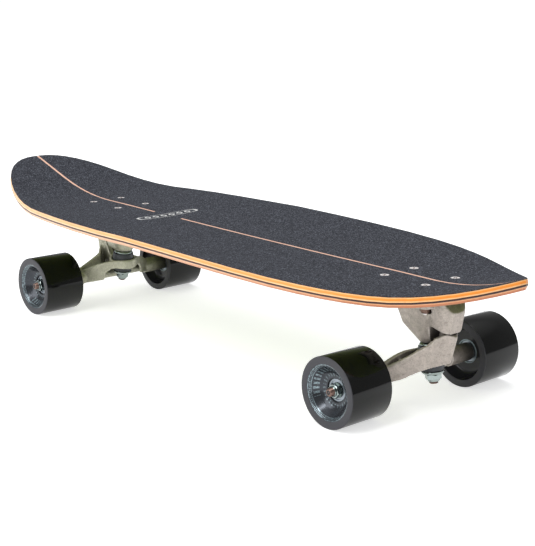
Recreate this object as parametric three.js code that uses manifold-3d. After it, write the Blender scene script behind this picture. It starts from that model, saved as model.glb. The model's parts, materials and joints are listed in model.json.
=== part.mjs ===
// Surf skateboard: a concave plywood deck on two cast steering trucks with four urethane wheels.
// Millimetres. +X points to the nose, +Y to the left side, +Z up.
// The origin is on the floor, under the middle of the deck's length.

import * as THREE from 'three';
import { ConvexGeometry } from 'three/addons/geometries/ConvexGeometry.js';
import { mergeVertices } from 'three/addons/utils/BufferGeometryUtils.js';
import Module from 'manifold-3d';

// Deck outline, profile and build-up
const NOSE_LENGTH = 444.3;
const TAIL_LENGTH = 394.5;
const DECK_HALF_WIDTH = 126.9;
const NOSE_TIP_ROUNDING = 3;
const NOSE_KICK_LENGTH = 109.9;
const NOSE_BEND_RADIUS = 285;
const NOSE_KICK_DEGREES = 21.9;
const TAIL_KICK_LENGTH = 176;
const TAIL_BEND_RADIUS = 358.5;
const TAIL_KICK_DEGREES = 17.4;
const WAIST_DIP = 1.2;
const WAIST_DIP_NOSE_END = 263.6;
const WAIST_DIP_TAIL_END = 198.4;
const CONCAVE_DEPTH = 8.2;
const NOSE_CONCAVE_DEPTH = 3.2;
const TAIL_CONCAVE_DEPTH = 0.4;
const NOSE_CONCAVE_REACH = 303.5;
const TAIL_CONCAVE_REACH = 690;
const GRIP_THICKNESS = 0.8;
const UPPER_PLIES_THICKNESS = 4.7;
const DARK_PLY_THICKNESS = 1;
const LOWER_PLIES_THICKNESS = 4;
const GLUE_LINE = 0.05;
const GRIP_EDGE_INSET = 1;
const TOP_EDGE_ROUNDING = 0.8;
const BOTTOM_EDGE_ROUNDING = 2;
const PIN_LINE_WIDTH = 3;
const PIN_LINE_TAIL_END = -145.9;
const PIN_LINE_NOSE_START = -91.9;

// Outline curves: exponents of the side's length and width on each half, and where the stations lie
const noseCurve = { lengthPower: 4.55, widthPower: 1.027, concavePower: 2.1 };
const tailCurve = { lengthPower: 2.27, widthPower: 2.24, concavePower: 0.7 };
const noseStationShares = [
  0.14, 0.28, 0.41, 0.52, 0.6, 0.66, 0.71, 0.76, 0.8, 0.84, 0.875, 0.91, 0.94, 0.965, 0.985, 0.996, 1,
];
const tailStationShares = [
  0, 0.14, 0.28, 0.4, 0.5, 0.58, 0.65, 0.71, 0.77, 0.825, 0.875, 0.915, 0.945, 0.97, 0.985, 0.9955, 1,
];
const acrossShares = [-1, -0.5, 0, 0.5, 1];

// The axles stand back from the deck's two tips
const FRONT_OVERHANG = 132.8;
const REAR_OVERHANG = 176.3;
const deckHalfLength = (NOSE_LENGTH + TAIL_LENGTH) / 2;

// Deck hardware
const BOLT_SPACING_ALONG = 53.98;
const BOLT_SPACING_ACROSS = 41.28;
const SCREW_RADIUS = 2.4;
const SCREW_HEAD_RADIUS = 4.8;
const SCREW_HEAD_DEPTH = 2.7;
const SCREW_LENGTH = 28.6;
const SCREW_CLEARANCE = 0.3;
const LOCKNUT_ACROSS_FLATS = 9.5;
const LOCKNUT_HEIGHT = 5;

// Wheels and bearings
const WHEEL_RADIUS = 35;
const WHEEL_WIDTH = 51.5;
const TREAD_ROUNDING = 1;
const HUB_FACE_DEPTH = 12.6;
const OUTER_BOWL_RADIUS = 27.3;
const OUTER_FACE_DROP = 0.6;
const INNER_LIP_RADIUS = 27.5;
const INNER_DISH_RADIUS = 23;
const INNER_DISH_DEPTH = 11.6;
const BEARING_RADIUS = 11;
const BEARING_WIDTH = 7;
const BEARING_FIT = 0.1;
const SPACER_LENGTH = 10;
const SPACER_RADIUS = 6;
const HUB_SHOULDER_RADIUS = 9.2;

// The outer bowl from the hub to its mouth, as shares of its radius and of the hub face's depth
const outerBowlShares = [[0.48, 1], [0.68, 0.8], [0.83, 0.42], [0.93, 0.13]];

// Axles
const AXLE_RADIUS = 4;
const AXLE_HALF_LENGTH = 114.8;
const AXLE_CHAMFER = 0.8;
const AXLE_CLEARANCE = 0.25;
const AXLE_NUT_ACROSS_FLATS = 12.7;
const AXLE_NUT_HEIGHT = 6.4;
const SPEED_WASHER_THICKNESS = 0.8;

// Riser pads between the deck and the trucks
const RISER_THICKNESS = 3;
const RISER_MARGIN = 1;

// Trucks: what both castings share
const TRUCK_HEIGHT = 78.6;
const DECK_SEAT_GAP = 0.3;
const WHEEL_CENTRE_REACH = 91.55;
const BOSS_RADIUS = 9.4;
const BOSS_START = 46;
const ARM_REACH = 50.3;
const BAND_THICKNESS = 4.6;
const PLATE_THICKNESS = 3.4;
const RING_OUTER_RADIUS = 17.2;
const RING_WALL = 3.6;
const RING_TOP = 5.2;
const RING_BOTTOM = 4.2;
const RING_FLOOR_THICKNESS = 4.6;
const RING_HOLE_RADIUS = 7.6;
const RIB_THICKNESS = 3;
const RIB_DEPTH = 2.6;
const RIB_REACH = 25.5;
const ARCH_HALF_WIDTH = 28;
const ARCH_HEIGHT = 13;
const ARCH_CORNER = 15;
const ARCH_FLARE = 6;
const STUB_RADIUS = 4.4;
const STUB_LENGTH = 8;
const CUP_WALL = 1.6;
const CUP_CLEARANCE = 0.4;
const CUP_DEPTH = 8.2;
const CUP_RECESS = 1.8;
const NECK_GAP = 1.4;

// Kingpin stack, measured from the bushing ring's centre along the kingpin
const KINGPIN_RADIUS = 4.7;
const KINGPIN_TILT_DEGREES = 8;
const KINGPIN_TIP_LENGTH = 9.6;
const KINGPIN_HEAD_RADIUS = 8;
const KINGPIN_HEAD_THICKNESS = 5;
const KINGPIN_HEAD_START = 50;
const KINGPIN_CLEARANCE = 0.3;
const KINGPIN_NUT_ACROSS_FLATS = 14.3;
const KINGPIN_NUT_HEIGHT = 7;
const WASHER_RADIUS = 11.3;
const WASHER_THICKNESS = 1.4;
const WASHER_RIM = 1.8;
const UPPER_STACK_REACH = 16.8;
const SEAT_GAP = 0.3;
const UPPER_BUSHING_SEAT_RADIUS = 13.2;
const UPPER_BUSHING_END_RADIUS = 12.2;
const LOWER_BUSHING_SEAT_RADIUS = 12.6;
const LOWER_BUSHING_END_RADIUS = 10.4;
const BUSHING_LIP_HEIGHT = 2.6;

// Baseplates
const FLANGE_THICKNESS = 7.5;
const FLANGE_MARGIN = 9.5;
const FLANGE_CORNER = 9;
const TOWER_FOOT_INSET = 1.6;
const TOWER_SHOULDER_HEIGHT = 3.4;
const NOTCH_CORNER = 2;
const LOBE_EDGE = 2.5;
const NUT_ROOM_RADIUS = 6.8;
const NUT_ROOM_DEPTH = 9.5;
const HEAD_POCKET_RADIUS = 9.5;

// Each truck's own places. X runs outboard from the axle, Z up from the axle.
// The elevations of the outboard plates are shares of the arms' reach and of the truck's height.
const frontTruck = {
  prefix: 'front',
  axleX: deckHalfLength - FRONT_OVERHANG,
  boltCentre: 5,
  ringReach: 23,
  ringHeight: 15,
  lowerStackReach: 15.4,
  mouthReach: 42,
  mouthHeight: 49.3,
  mouthPlaneDegrees: 22.5,
  towerShift: 2.4,
  towerHalfLength: 9.3,
  towerHalfWidth: 13,
  towerCorner: 7,
  bellyReach: -2,
  bellyHeight: 49,
  bellyHalfWidth: 16.2,
  bodyTopStart: -9,
  bodyTopHalfWidth: 22.5,
  lobeReach: 42.6,
  lobeRadius: 10,
  lobeSpread: 4,
  lobeBottom: 43.5,
  lobeTopReach: 44.3,
  lobeTopHeight: 66,
  lobeTopRadius: 12,
  lobeCapRadius: 12,
  scoops: [{ reach: 74, side: 0, height: 94.4, radius: 33.2 }],
  notchStart: 31,
  notchEnd: 32.6,
  notchTop: 50,
  housingRadius: 5.4,
  plateRake: 0.28,
  prowReach: 51.6,
  shoulderReach: 31,
  shoulderWidth: 22,
  bossFaceReach: 5,
  neckFootStart: 34,
  neckFootEnd: 48.6,
  neckFootHalfWidth: 6,
  neckFootLow: 18,
  neckFootHigh: 30,
  neckToeHigh: 40,
  neckRadius: 6.8,
  webHalfWidth: 3,
  webCrestReach: 38.7,
  webCrestHeight: 49.3,
  plateTopShares: [
    [0, 0.61], [0.16, 0.57], [0.26, 0.53], [0.31, 0.456], [0.41, 0.394], [0.49, 0.341],
    [0.62, 0.25], [0.75, 0.187], [0.9, 0.118], [1.11, 0.09],
  ],
  plateBottomShares: [
    [0, 0.188], [0.14, 0.148], [0.27, 0.115], [0.38, 0.072], [0.47, 0.035], [0.56, -0.012],
    [0.645, -0.052], [0.75, -0.073], [0.88, -0.092], [1.11, -0.115],
  ],
};
const rearTruck = {
  prefix: 'rear',
  axleX: REAR_OVERHANG - deckHalfLength,
  boltCentre: -21.7,
  ringReach: -24.5,
  ringHeight: 17,
  lowerStackReach: 13.9,
  mouthReach: 20.5,
  mouthHeight: 47.6,
  mouthPlaneDegrees: 55.8,
  towerShift: 0,
  towerHalfLength: 12.8,
  towerHalfWidth: 12.8,
  towerCorner: 12.8,
  bellyReach: -35,
  bellyHeight: 55,
  bellyHalfWidth: 12,
  bodyTopStart: -48.7,
  bodyTopHalfWidth: 24,
  lobeReach: 26.5,
  lobeRadius: 12,
  lobeSpread: 0,
  lobeBottom: 43,
  lobeTopReach: 26.5,
  lobeTopHeight: 66,
  lobeTopRadius: 11.8,
  lobeCapRadius: 15,
  scoops: [
    { reach: 44, side: 24, height: 78.6, radius: 16 },
    { reach: 44, side: -24, height: 78.6, radius: 16 },
  ],
  notchStart: -11,
  notchEnd: -8,
  notchTop: 62,
  housingRadius: 6.8,
  plateRake: 0.02,
  prowReach: 24.6,
  shoulderReach: 10,
  shoulderWidth: 14,
  bossFaceReach: 6,
  neckFootStart: 10,
  neckFootEnd: 22.4,
  neckFootHalfWidth: 4,
  neckFootLow: 4,
  neckFootHigh: 28,
  neckToeHigh: 36,
  neckRadius: 7.4,
  webHalfWidth: 3.6,
  webCrestReach: 9,
  webCrestHeight: 57,
  plateTopShares: [
    [0, 0.53], [0.1, 0.44], [0.24, 0.34], [0.4, 0.28], [0.6, 0.225], [0.89, 0.15], [1.11, 0.09],
  ],
  plateBottomShares: [
    [0, 0.04], [0.24, 0.025], [0.44, -0.013], [0.68, -0.057], [0.91, -0.083], [1.11, -0.09],
  ],
};

// The inboard band: its elevation, and how far each part of the arm has bowed towards the ring
const bandTopShares = [
  [0, 0.285], [0.3, 0.285], [0.44, 0.27], [0.62, 0.235], [0.82, 0.175], [0.95, 0.125], [1.11, 0.09],
];
const bandBottomShares = [[0, 0], [0.4, -0.013], [0.6, -0.036], [0.95, -0.084], [1.11, -0.09]];
const bandBowShares = [[0, 1], [0.12, 0.98], [0.22, 0.9], [0.42, 0.68], [0.62, 0.45], [0.82, 0.22], [1, 0]];

// How finely round shapes are cut, and the smallest distance between two different vertices
const WHEEL_SEGMENTS = 24;
const BEARING_SEGMENTS = 12;
const ROUND_SEGMENTS = 14;
const RING_SEGMENTS = 18;
const SMALL_SEGMENTS = 8;
const PLAN_DIVISIONS = 12;
const ELEVATION_DIVISIONS = 8;
const CORNER_DIVISIONS = 3;
const HEX_SIDES = 6;
const SCOOP_DETAIL = 4;
const WELD_DISTANCE = 0.0005;
const CUT_OVERRUN = 2;

// The turns of the baseplate at which the hanger is cut clear of it
const leanRoomDegrees = [-24, -20, 20, 24];

const HALF_TURN = Math.PI;
const QUARTER_TURN = Math.PI / 2;
const QUARTER_DEGREES = 90;

// Worked out from the sizes above
const plateTopZ = WHEEL_RADIUS + TRUCK_HEIGHT;
const riserTopZ = plateTopZ + GLUE_LINE + RISER_THICKNESS;
const woodThickness = LOWER_PLIES_THICKNESS + DARK_PLY_THICKNESS + UPPER_PLIES_THICKNESS + 2 * GLUE_LINE;
const deckTopZ = riserTopZ + DECK_SEAT_GAP + woodThickness + GLUE_LINE + GRIP_THICKNESS;
const widestX = (TAIL_LENGTH - NOSE_LENGTH) / 2;
const noseSharpLength = NOSE_LENGTH
  + NOSE_TIP_ROUNDING * NOSE_LENGTH / (DECK_HALF_WIDTH * noseCurve.lengthPower);
const hangerHalfWidth = WHEEL_CENTRE_REACH - SPACER_LENGTH / 2 - BEARING_WIDTH - SPEED_WASHER_THICKNESS;
const kingpinTilt = THREE.MathUtils.degToRad(KINGPIN_TILT_DEGREES);
const cupRadius = STUB_RADIUS + CUP_CLEARANCE + CUP_WALL;

// Solids: geometries become closed solids to be joined and cut, and geometries again

const wasm = await Module();
wasm.setup();

function signedVolume(positions, indices) {
  const a = new THREE.Vector3();
  const b = new THREE.Vector3();
  const c = new THREE.Vector3();
  let sum = 0;
  for (let i = 0; i < indices.length; i += 3) {
    a.fromArray(positions, 3 * indices[i]);
    b.fromArray(positions, 3 * indices[i + 1]);
    c.fromArray(positions, 3 * indices[i + 2]);
    sum += a.dot(b.cross(c));
  }
  return sum;
}

function toSolid(geometry) {
  const bare = geometry.clone();
  bare.deleteAttribute('normal');
  bare.deleteAttribute('uv');
  const merged = mergeVertices(bare, WELD_DISTANCE);
  const positions = merged.attributes.position.array;
  const corners = merged.index.array;
  const kept = [];
  for (let i = 0; i < corners.length; i += 3) {
    const [a, b, c] = [corners[i], corners[i + 1], corners[i + 2]];
    if (a !== b && b !== c && c !== a) {
      kept.push(a, b, c);
    }
  }
  if (signedVolume(positions, kept) < 0) {
    kept.reverse();
  }
  const mesh = new wasm.Mesh({
    numProp: 3,
    vertProperties: new Float32Array(positions),
    triVerts: new Uint32Array(kept),
  });
  return new wasm.Manifold(mesh);
}

function toGeometry(solid) {
  const mesh = solid.getMesh();
  const geometry = new THREE.BufferGeometry();
  geometry.setAttribute('position', new THREE.BufferAttribute(new Float32Array(mesh.vertProperties), 3));
  geometry.setIndex(new THREE.BufferAttribute(new Uint32Array(mesh.triVerts), 1));
  return geometry;
}

function joined(solids) {
  return solids.reduce((whole, solid) => whole.add(solid));
}

// A closed profile of [radius, height] points turned about Z
function revolve(profile, segments, phase = 0) {
  const points = profile.map(([radius, height]) => new THREE.Vector2(radius, height));
  const first = points[0];
  if (first.x > 0) {
    points.push(first.clone());
  }
  const geometry = new THREE.LatheGeometry(points, segments, phase);
  geometry.rotateX(QUARTER_TURN);
  return geometry;
}

function disc(radius, low, high, segments) {
  return revolve([[0, low], [radius, low], [radius, high], [0, high]], segments);
}

function tube(inner, outer, low, high, segments) {
  return revolve([[inner, low], [outer, low], [outer, high], [inner, high]], segments);
}

// A hexagon across flats, or any other regular prism, is a disc with the corners worked out
function hexRadius(acrossFlats) {
  return acrossFlats / 2 / Math.cos(Math.PI / HEX_SIDES);
}

// A flat shape on XY raised from one height to another
function prism(shape, low, high, curveSegments) {
  const geometry = new THREE.ExtrudeGeometry(shape, {
    depth: high - low,
    bevelEnabled: false,
    curveSegments,
  });
  geometry.translate(0, 0, low);
  return geometry;
}

// Stands a prism drawn as (Y, Z) up, so that it runs along X
function alongX(geometry) {
  const basis = new THREE.Matrix4().makeBasis(
    new THREE.Vector3(0, 1, 0),
    new THREE.Vector3(0, 0, 1),
    new THREE.Vector3(1, 0, 0),
  );
  return geometry.applyMatrix4(basis);
}

// Lays a shape turned about Z along Y
function alongY(geometry) {
  return geometry.rotateX(QUARTER_TURN);
}

function placed(geometry, x, y, z, turnY = 0) {
  return geometry.rotateY(turnY).translate(x, y, z);
}

function hull(points) {
  return new ConvexGeometry(points);
}

function circlePoints(centre, radius, axisTilt, count) {
  const points = [];
  for (let i = 0; i < count; i += 1) {
    const angle = 2 * Math.PI * (i + 0.5) / count;
    const point = new THREE.Vector3(radius * Math.cos(angle), radius * Math.sin(angle), 0);
    point.applyAxisAngle(new THREE.Vector3(0, 1, 0), axisTilt);
    points.push(point.add(centre));
  }
  return points;
}

function mirroredPath(points) {
  const right = points.filter(([reach]) => reach > 0).map(([reach, height]) => [-reach, height]);
  return [...right.reverse(), ...points];
}

// A smooth line through [reach, height] points on both sides of the middle
function smoothLine(points, divisions) {
  const full = mirroredPath(points).map(([reach, height]) => new THREE.Vector2(reach, height));
  return new THREE.SplineCurve(full).getPoints(divisions);
}

// Materials, as seen on the object
const finishes = {
  grip: { color: 0x46474c, roughness: 0.95, metalness: 0 },
  upperPlies: { color: 0xe8a45c, roughness: 0.55, metalness: 0 },
  darkPly: { color: 0x35262c, roughness: 0.6, metalness: 0 },
  lowerPlies: { color: 0xd98d6a, roughness: 0.55, metalness: 0 },
  steel: { color: 0xb9bcc0, roughness: 0.3, metalness: 1 },
  zinc: { color: 0xc9d2d0, roughness: 0.28, metalness: 1 },
  cast: { color: 0xa39b92, roughness: 0.6, metalness: 0.85 },
  bushing: { color: 0x35383c, roughness: 0.55, metalness: 0 },
  cup: { color: 0x1c1c1e, roughness: 0.6, metalness: 0 },
  urethane: { color: 0x121214, roughness: 0.3, metalness: 0 },
  bearing: { color: 0x9aa0a6, roughness: 0.3, metalness: 1 },
  copper: { color: 0x6b4b3a, roughness: 0.4, metalness: 0.9 },
};

function pieceOf(name, solid, finish) {
  const material = new THREE.MeshStandardMaterial(finishes[finish]);
  const mesh = new THREE.Mesh(toGeometry(solid), material);
  mesh.name = name;
  return mesh;
}

// Deck: outline and surface

function halfWidthAt(x) {
  const ahead = x - widestX;
  if (ahead >= 0) {
    const share = ahead / noseSharpLength;
    const sharp = DECK_HALF_WIDTH * (1 - share ** noseCurve.lengthPower) ** (1 / noseCurve.widthPower);
    return Math.sqrt(Math.max(sharp ** 2 - NOSE_TIP_ROUNDING ** 2, 0));
  }
  const share = Math.min(-ahead / TAIL_LENGTH, 1);
  return DECK_HALF_WIDTH * (1 - share ** tailCurve.lengthPower) ** (1 / tailCurve.widthPower);
}

// Height gained by a bend of one radius that ends in a straight kick
function kickRise(distance, radius, degrees) {
  const slope = THREE.MathUtils.degToRad(degrees);
  const bendLength = radius * Math.sin(slope);
  if (distance <= 0) {
    return 0;
  }
  if (distance < bendLength) {
    return radius - Math.sqrt(radius ** 2 - distance ** 2);
  }
  return radius * (1 - Math.cos(slope)) + (distance - bendLength) * Math.tan(slope);
}

function deckHeight(x, y) {
  const ahead = x - widestX;
  const noseSide = ahead > 0;
  const reach = noseSide ? NOSE_CONCAVE_REACH : TAIL_CONCAVE_REACH;
  const endDepth = noseSide ? NOSE_CONCAVE_DEPTH : TAIL_CONCAVE_DEPTH;
  const power = noseSide ? noseCurve.concavePower : tailCurve.concavePower;
  const fade = Math.min(Math.abs(ahead) / reach, 1) ** power;
  const depth = CONCAVE_DEPTH * (1 - fade) + endDepth * fade;
  const dipMiddle = (WAIST_DIP_NOSE_END - WAIST_DIP_TAIL_END) / 2;
  const dipReach = (WAIST_DIP_NOSE_END + WAIST_DIP_TAIL_END) / 2;
  const dip = WAIST_DIP * (1 - Math.min(Math.abs(x - dipMiddle) / dipReach, 1) ** 2);
  const nose = kickRise(x - deckHalfLength + NOSE_KICK_LENGTH, NOSE_BEND_RADIUS, NOSE_KICK_DEGREES);
  const tail = kickRise(-x - deckHalfLength + TAIL_KICK_LENGTH, TAIL_BEND_RADIUS, TAIL_KICK_DEGREES);
  return deckTopZ + depth * (y / DECK_HALF_WIDTH) ** 2 - dip + nose + tail;
}

// Outline stations from tail tip to nose tip, as [x, half width]
function outlineStations() {
  const tail = tailStationShares.map((share) => widestX - share * TAIL_LENGTH).reverse();
  const nose = noseStationShares.map((share) => widestX + share * NOSE_LENGTH);
  const stations = [...tail, ...nose].map((x) => [x, halfWidthAt(x)]);
  stations[0][1] = 0;
  stations[stations.length - 1][1] = 0;
  return stations;
}

// The outline moved inward by a distance, station by station
function insetStations(inset) {
  const stations = outlineStations();
  const last = stations.length - 1;
  return stations.map(([x, width], i) => {
    if (i === 0 || i === last) {
      return [x + Math.sign(widestX - x) * inset, 0];
    }
    const [beforeX, beforeWidth] = stations[i - 1];
    const [afterX, afterWidth] = stations[i + 1];
    const along = new THREE.Vector2(afterX - beforeX, afterWidth - beforeWidth).normalize();
    return [x + along.y * inset, width - along.x * inset];
  });
}

// One layer of the deck between two depths under the riding surface
function laminate(topDepth, bottomDepth, topInset, bottomInset) {
  const levels = [[topDepth, topInset], [bottomDepth, bottomInset]];
  const rings = levels.map(([depth, inset]) => insetStations(inset).map(([x, width]) => {
    if (width === 0) {
      return [new THREE.Vector3(x, 0, deckHeight(x, 0) - depth)];
    }
    return acrossShares.map((share) => {
      const y = share * width;
      return new THREE.Vector3(x, y, deckHeight(x, y) - depth);
    });
  }));
  const corners = [];
  const face = (...points) => points.forEach((point) => corners.push(point.x, point.y, point.z));
  const at = (row, column) => (row.length === 1 ? row[0] : row[column]);
  const lastColumn = acrossShares.length - 1;
  for (let i = 0; i + 1 < rings[0].length; i += 1) {
    const [top, topNext] = [rings[0][i], rings[0][i + 1]];
    const [low, lowNext] = [rings[1][i], rings[1][i + 1]];
    for (let j = 0; j < lastColumn; j += 1) {
      face(at(top, j), at(topNext, j), at(topNext, j + 1));
      face(at(top, j), at(topNext, j + 1), at(top, j + 1));
      face(at(low, j), at(lowNext, j + 1), at(lowNext, j));
      face(at(low, j), at(low, j + 1), at(lowNext, j + 1));
    }
    for (const [column, turned] of [[0, false], [lastColumn, true]]) {
      const quad = [at(top, column), at(low, column), at(lowNext, column), at(topNext, column)];
      const [a, b, c, d] = turned ? quad.reverse() : quad;
      face(a, b, c);
      face(a, c, d);
    }
  }
  const geometry = new THREE.BufferGeometry();
  geometry.setAttribute('position', new THREE.BufferAttribute(new Float32Array(corners), 3));
  return toSolid(geometry);
}

// Deck hardware

// Bolt places of a truck as [x, y] in the object's frame, named by side and order
function boltPlaces(truck) {
  const outboard = Math.sign(truck.axleX);
  const centre = truck.axleX + outboard * truck.boltCentre;
  const places = [];
  for (const [sideName, side] of [['left', 1], ['right', -1]]) {
    for (const [endName, end] of [['inner', -1], ['outer', 1]]) {
      places.push({
        name: `${truck.prefix}_${endName}_${sideName}`,
        x: centre + outboard * end * BOLT_SPACING_ALONG / 2,
        y: side * BOLT_SPACING_ACROSS / 2,
      });
    }
  }
  return places;
}

function screwProfile(grow) {
  return [
    [0, -SCREW_LENGTH - grow],
    [SCREW_RADIUS + grow, -SCREW_LENGTH - grow],
    [SCREW_RADIUS + grow, -SCREW_HEAD_DEPTH - grow],
    [SCREW_HEAD_RADIUS + grow, 0],
    [SCREW_HEAD_RADIUS + grow, grow],
    [0, grow],
  ];
}

function screwAt(place) {
  const z = deckHeight(place.x, 0);
  const solid = toSolid(revolve(screwProfile(0), SMALL_SEGMENTS));
  const piece = pieceOf(`${place.name}_screw`, solid, 'steel');
  piece.position.set(place.x, place.y, z);
  return piece;
}

function screwHoles(trucks) {
  const grown = screwProfile(SCREW_CLEARANCE);
  grown[3] = [SCREW_HEAD_RADIUS + SCREW_CLEARANCE, 0];
  grown[4] = [SCREW_HEAD_RADIUS + SCREW_CLEARANCE, CUT_OVERRUN];
  grown[5] = [0, CUT_OVERRUN];
  return joined(trucks.flatMap(boltPlaces).map((place) => {
    const hole = revolve(grown, SMALL_SEGMENTS);
    return toSolid(placed(hole, place.x, place.y, deckHeight(place.x, 0)));
  }));
}

function locknutAt(place) {
  const bore = SCREW_RADIUS + SCREW_CLEARANCE;
  const body = toSolid(disc(hexRadius(LOCKNUT_ACROSS_FLATS), 0, LOCKNUT_HEIGHT, HEX_SIDES));
  const hole = toSolid(disc(bore, -CUT_OVERRUN, LOCKNUT_HEIGHT + CUT_OVERRUN, SMALL_SEGMENTS));
  const piece = pieceOf(`${place.name}_locknut`, body.subtract(hole), 'zinc');
  piece.position.set(place.x, place.y, plateTopZ - FLANGE_THICKNESS - SEAT_GAP - LOCKNUT_HEIGHT);
  return piece;
}

function flangeOutline(truck, margin) {
  return roundedRectangle(
    truck.boltCentre - BOLT_SPACING_ALONG / 2 - margin,
    truck.boltCentre + BOLT_SPACING_ALONG / 2 + margin,
    BOLT_SPACING_ACROSS / 2 + margin,
    FLANGE_CORNER,
  );
}

// Bores for a truck's four screws, in the truck's frame
function screwBores(truck, radius, low, high) {
  const outboard = Math.sign(truck.axleX);
  return joined(boltPlaces(truck).map((place) => toSolid(placed(
    disc(radius, low, high, SMALL_SEGMENTS),
    outboard * (place.x - truck.axleX),
    place.y,
    0,
  ))));
}

function riserPad(truck) {
  const low = TRUCK_HEIGHT + GLUE_LINE;
  const high = low + RISER_THICKNESS;
  const outline = flangeOutline(truck, FLANGE_MARGIN - RISER_MARGIN);
  const pad = toSolid(prism(outline, low, high, CORNER_DIVISIONS));
  const bores = screwBores(truck, SCREW_RADIUS + SCREW_CLEARANCE, 0, high + CUT_OVERRUN);
  return pieceOf(`${truck.prefix}_riser_pad`, pad.subtract(bores), 'cup');
}

// Deck assembly
function buildDeck(trucks) {
  const deck = new THREE.Group();
  const holes = screwHoles(trucks);
  const upperTop = GRIP_THICKNESS + GLUE_LINE;
  const upperBottom = upperTop + UPPER_PLIES_THICKNESS;
  const darkTop = upperBottom + GLUE_LINE;
  const darkBottom = darkTop + DARK_PLY_THICKNESS;
  const lowerTop = darkBottom + GLUE_LINE;
  const lowerBottom = lowerTop + LOWER_PLIES_THICKNESS;

  const lineFrom = (start, end) => {
    const shape = new THREE.Shape();
    shape.moveTo(start, -PIN_LINE_WIDTH / 2);
    shape.lineTo(end, -PIN_LINE_WIDTH / 2);
    shape.lineTo(end, PIN_LINE_WIDTH / 2);
    shape.lineTo(start, PIN_LINE_WIDTH / 2);
    return toSolid(prism(shape, plateTopZ, 2 * deckTopZ, 1));
  };
  const tailLine = lineFrom(widestX - TAIL_LENGTH - CUT_OVERRUN, PIN_LINE_TAIL_END);
  const noseLine = lineFrom(PIN_LINE_NOSE_START, widestX + NOSE_LENGTH + CUT_OVERRUN);

  const grip = laminate(0, GRIP_THICKNESS, GRIP_EDGE_INSET, GRIP_EDGE_INSET)
    .subtract(holes).subtract(tailLine).subtract(noseLine);
  const upper = laminate(upperTop, upperBottom, TOP_EDGE_ROUNDING, 0).subtract(holes);
  const dark = laminate(darkTop, darkBottom, 0, 0).subtract(holes);
  const lower = laminate(lowerTop, lowerBottom, 0, BOTTOM_EDGE_ROUNDING).subtract(holes);
  deck.add(
    pieceOf('grip_tape', grip, 'grip'),
    pieceOf('deck_upper_plies', upper, 'upperPlies'),
    pieceOf('deck_dark_ply', dark, 'darkPly'),
    pieceOf('deck_lower_plies', lower, 'lowerPlies'),
  );
  for (const place of trucks.flatMap(boltPlaces)) {
    deck.add(screwAt(place), locknutAt(place));
  }
  return deck;
}

// Truck castings, in a frame whose origin is the axle's middle and whose +X points outboard

// The steering axis rises outboard through the bushing ring's centre and the pivot cup's mouth
function steeringAngle(truck) {
  return Math.atan2(truck.mouthHeight - truck.ringHeight, truck.mouthReach - truck.ringReach);
}

function steeringPoint(truck, distancePastMouth) {
  const angle = steeringAngle(truck);
  return new THREE.Vector3(
    truck.mouthReach + distancePastMouth * Math.cos(angle),
    0,
    truck.mouthHeight + distancePastMouth * Math.sin(angle),
  );
}

// Everything outboard of and above the pivot's mouth, moved away from it by a distance
function mouthHalfSpace(truck, distance, above) {
  const turn = THREE.MathUtils.degToRad(truck.mouthPlaneDegrees);
  const x = truck.mouthReach + distance * Math.sin(turn);
  const z = truck.mouthHeight + distance * Math.cos(turn);
  const far = above ? 2 * TRUCK_HEIGHT : -2 * TRUCK_HEIGHT;
  const block = disc(2 * TRUCK_HEIGHT, Math.min(0, far), Math.max(0, far), HEX_SIDES);
  return toSolid(placed(block, x, 0, z, turn));
}

// Turns a shape about Z so that it lies along the steering axis, from a point past the mouth
function onSteeringAxis(truck, geometry, distancePastMouth) {
  const point = steeringPoint(truck, distancePastMouth);
  return placed(geometry, point.x, point.y, point.z, QUARTER_TURN - steeringAngle(truck));
}

// Turns a shape about Z so that it lies along the kingpin, from the bushing ring's centre
function onKingpin(truck, geometry) {
  return placed(geometry, truck.ringReach, 0, truck.ringHeight, -kingpinTilt);
}

// A wall seen from above: two arms that bow from the bosses to the bushing ring's inboard side
function bandPlan(truck) {
  const armX = -BOSS_RADIUS / 2;
  const ringX = truck.ringReach - RING_OUTER_RADIUS;
  const path = bandBowShares.map(([acrossShare, bowShare]) => [
    acrossShare * ARM_REACH,
    armX + bowShare * (ringX - armX),
  ]);
  const outer = smoothLine(path, PLAN_DIVISIONS).map((point) => new THREE.Vector2(point.y, point.x));
  const inner = outer.map((point) => new THREE.Vector2(point.x + BAND_THICKNESS, point.y)).reverse();
  return new THREE.Shape([...outer, ...inner]);
}

// An elevation between a smooth top line and a smooth bottom line, drawn as (Y, Z).
// Both lines are shares of the arms' reach and of the truck's height.
function elevation(topShares, bottomShares) {
  const sized = (shares) => shares.map(([acrossShare, heightShare]) => [
    acrossShare * ARM_REACH,
    heightShare * TRUCK_HEIGHT,
  ]);
  const upper = smoothLine(sized(topShares), 2 * ELEVATION_DIVISIONS);
  const lower = smoothLine(sized(bottomShares), 2 * ELEVATION_DIVISIONS).reverse();
  const shape = new THREE.Shape([...upper, ...lower]);
  return toSolid(alongX(prism(shape, -TRUCK_HEIGHT, TRUCK_HEIGHT, 1)));
}

// The arch's feet flare out below its rounded corners
function archShape() {
  const shoulder = ARCH_HEIGHT - ARCH_CORNER;
  const foot = shoulder - ARCH_FLARE;
  const footHalfWidth = ARCH_HALF_WIDTH + ARCH_FLARE;
  const shape = new THREE.Shape();
  shape.moveTo(-footHalfWidth, foot);
  shape.lineTo(footHalfWidth, foot);
  shape.lineTo(ARCH_HALF_WIDTH, shoulder);
  shape.quadraticCurveTo(ARCH_HALF_WIDTH, ARCH_HEIGHT, ARCH_HALF_WIDTH - ARCH_CORNER, ARCH_HEIGHT);
  shape.lineTo(-ARCH_HALF_WIDTH + ARCH_CORNER, ARCH_HEIGHT);
  shape.quadraticCurveTo(-ARCH_HALF_WIDTH, ARCH_HEIGHT, -ARCH_HALF_WIDTH, shoulder);
  return shape;
}

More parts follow.
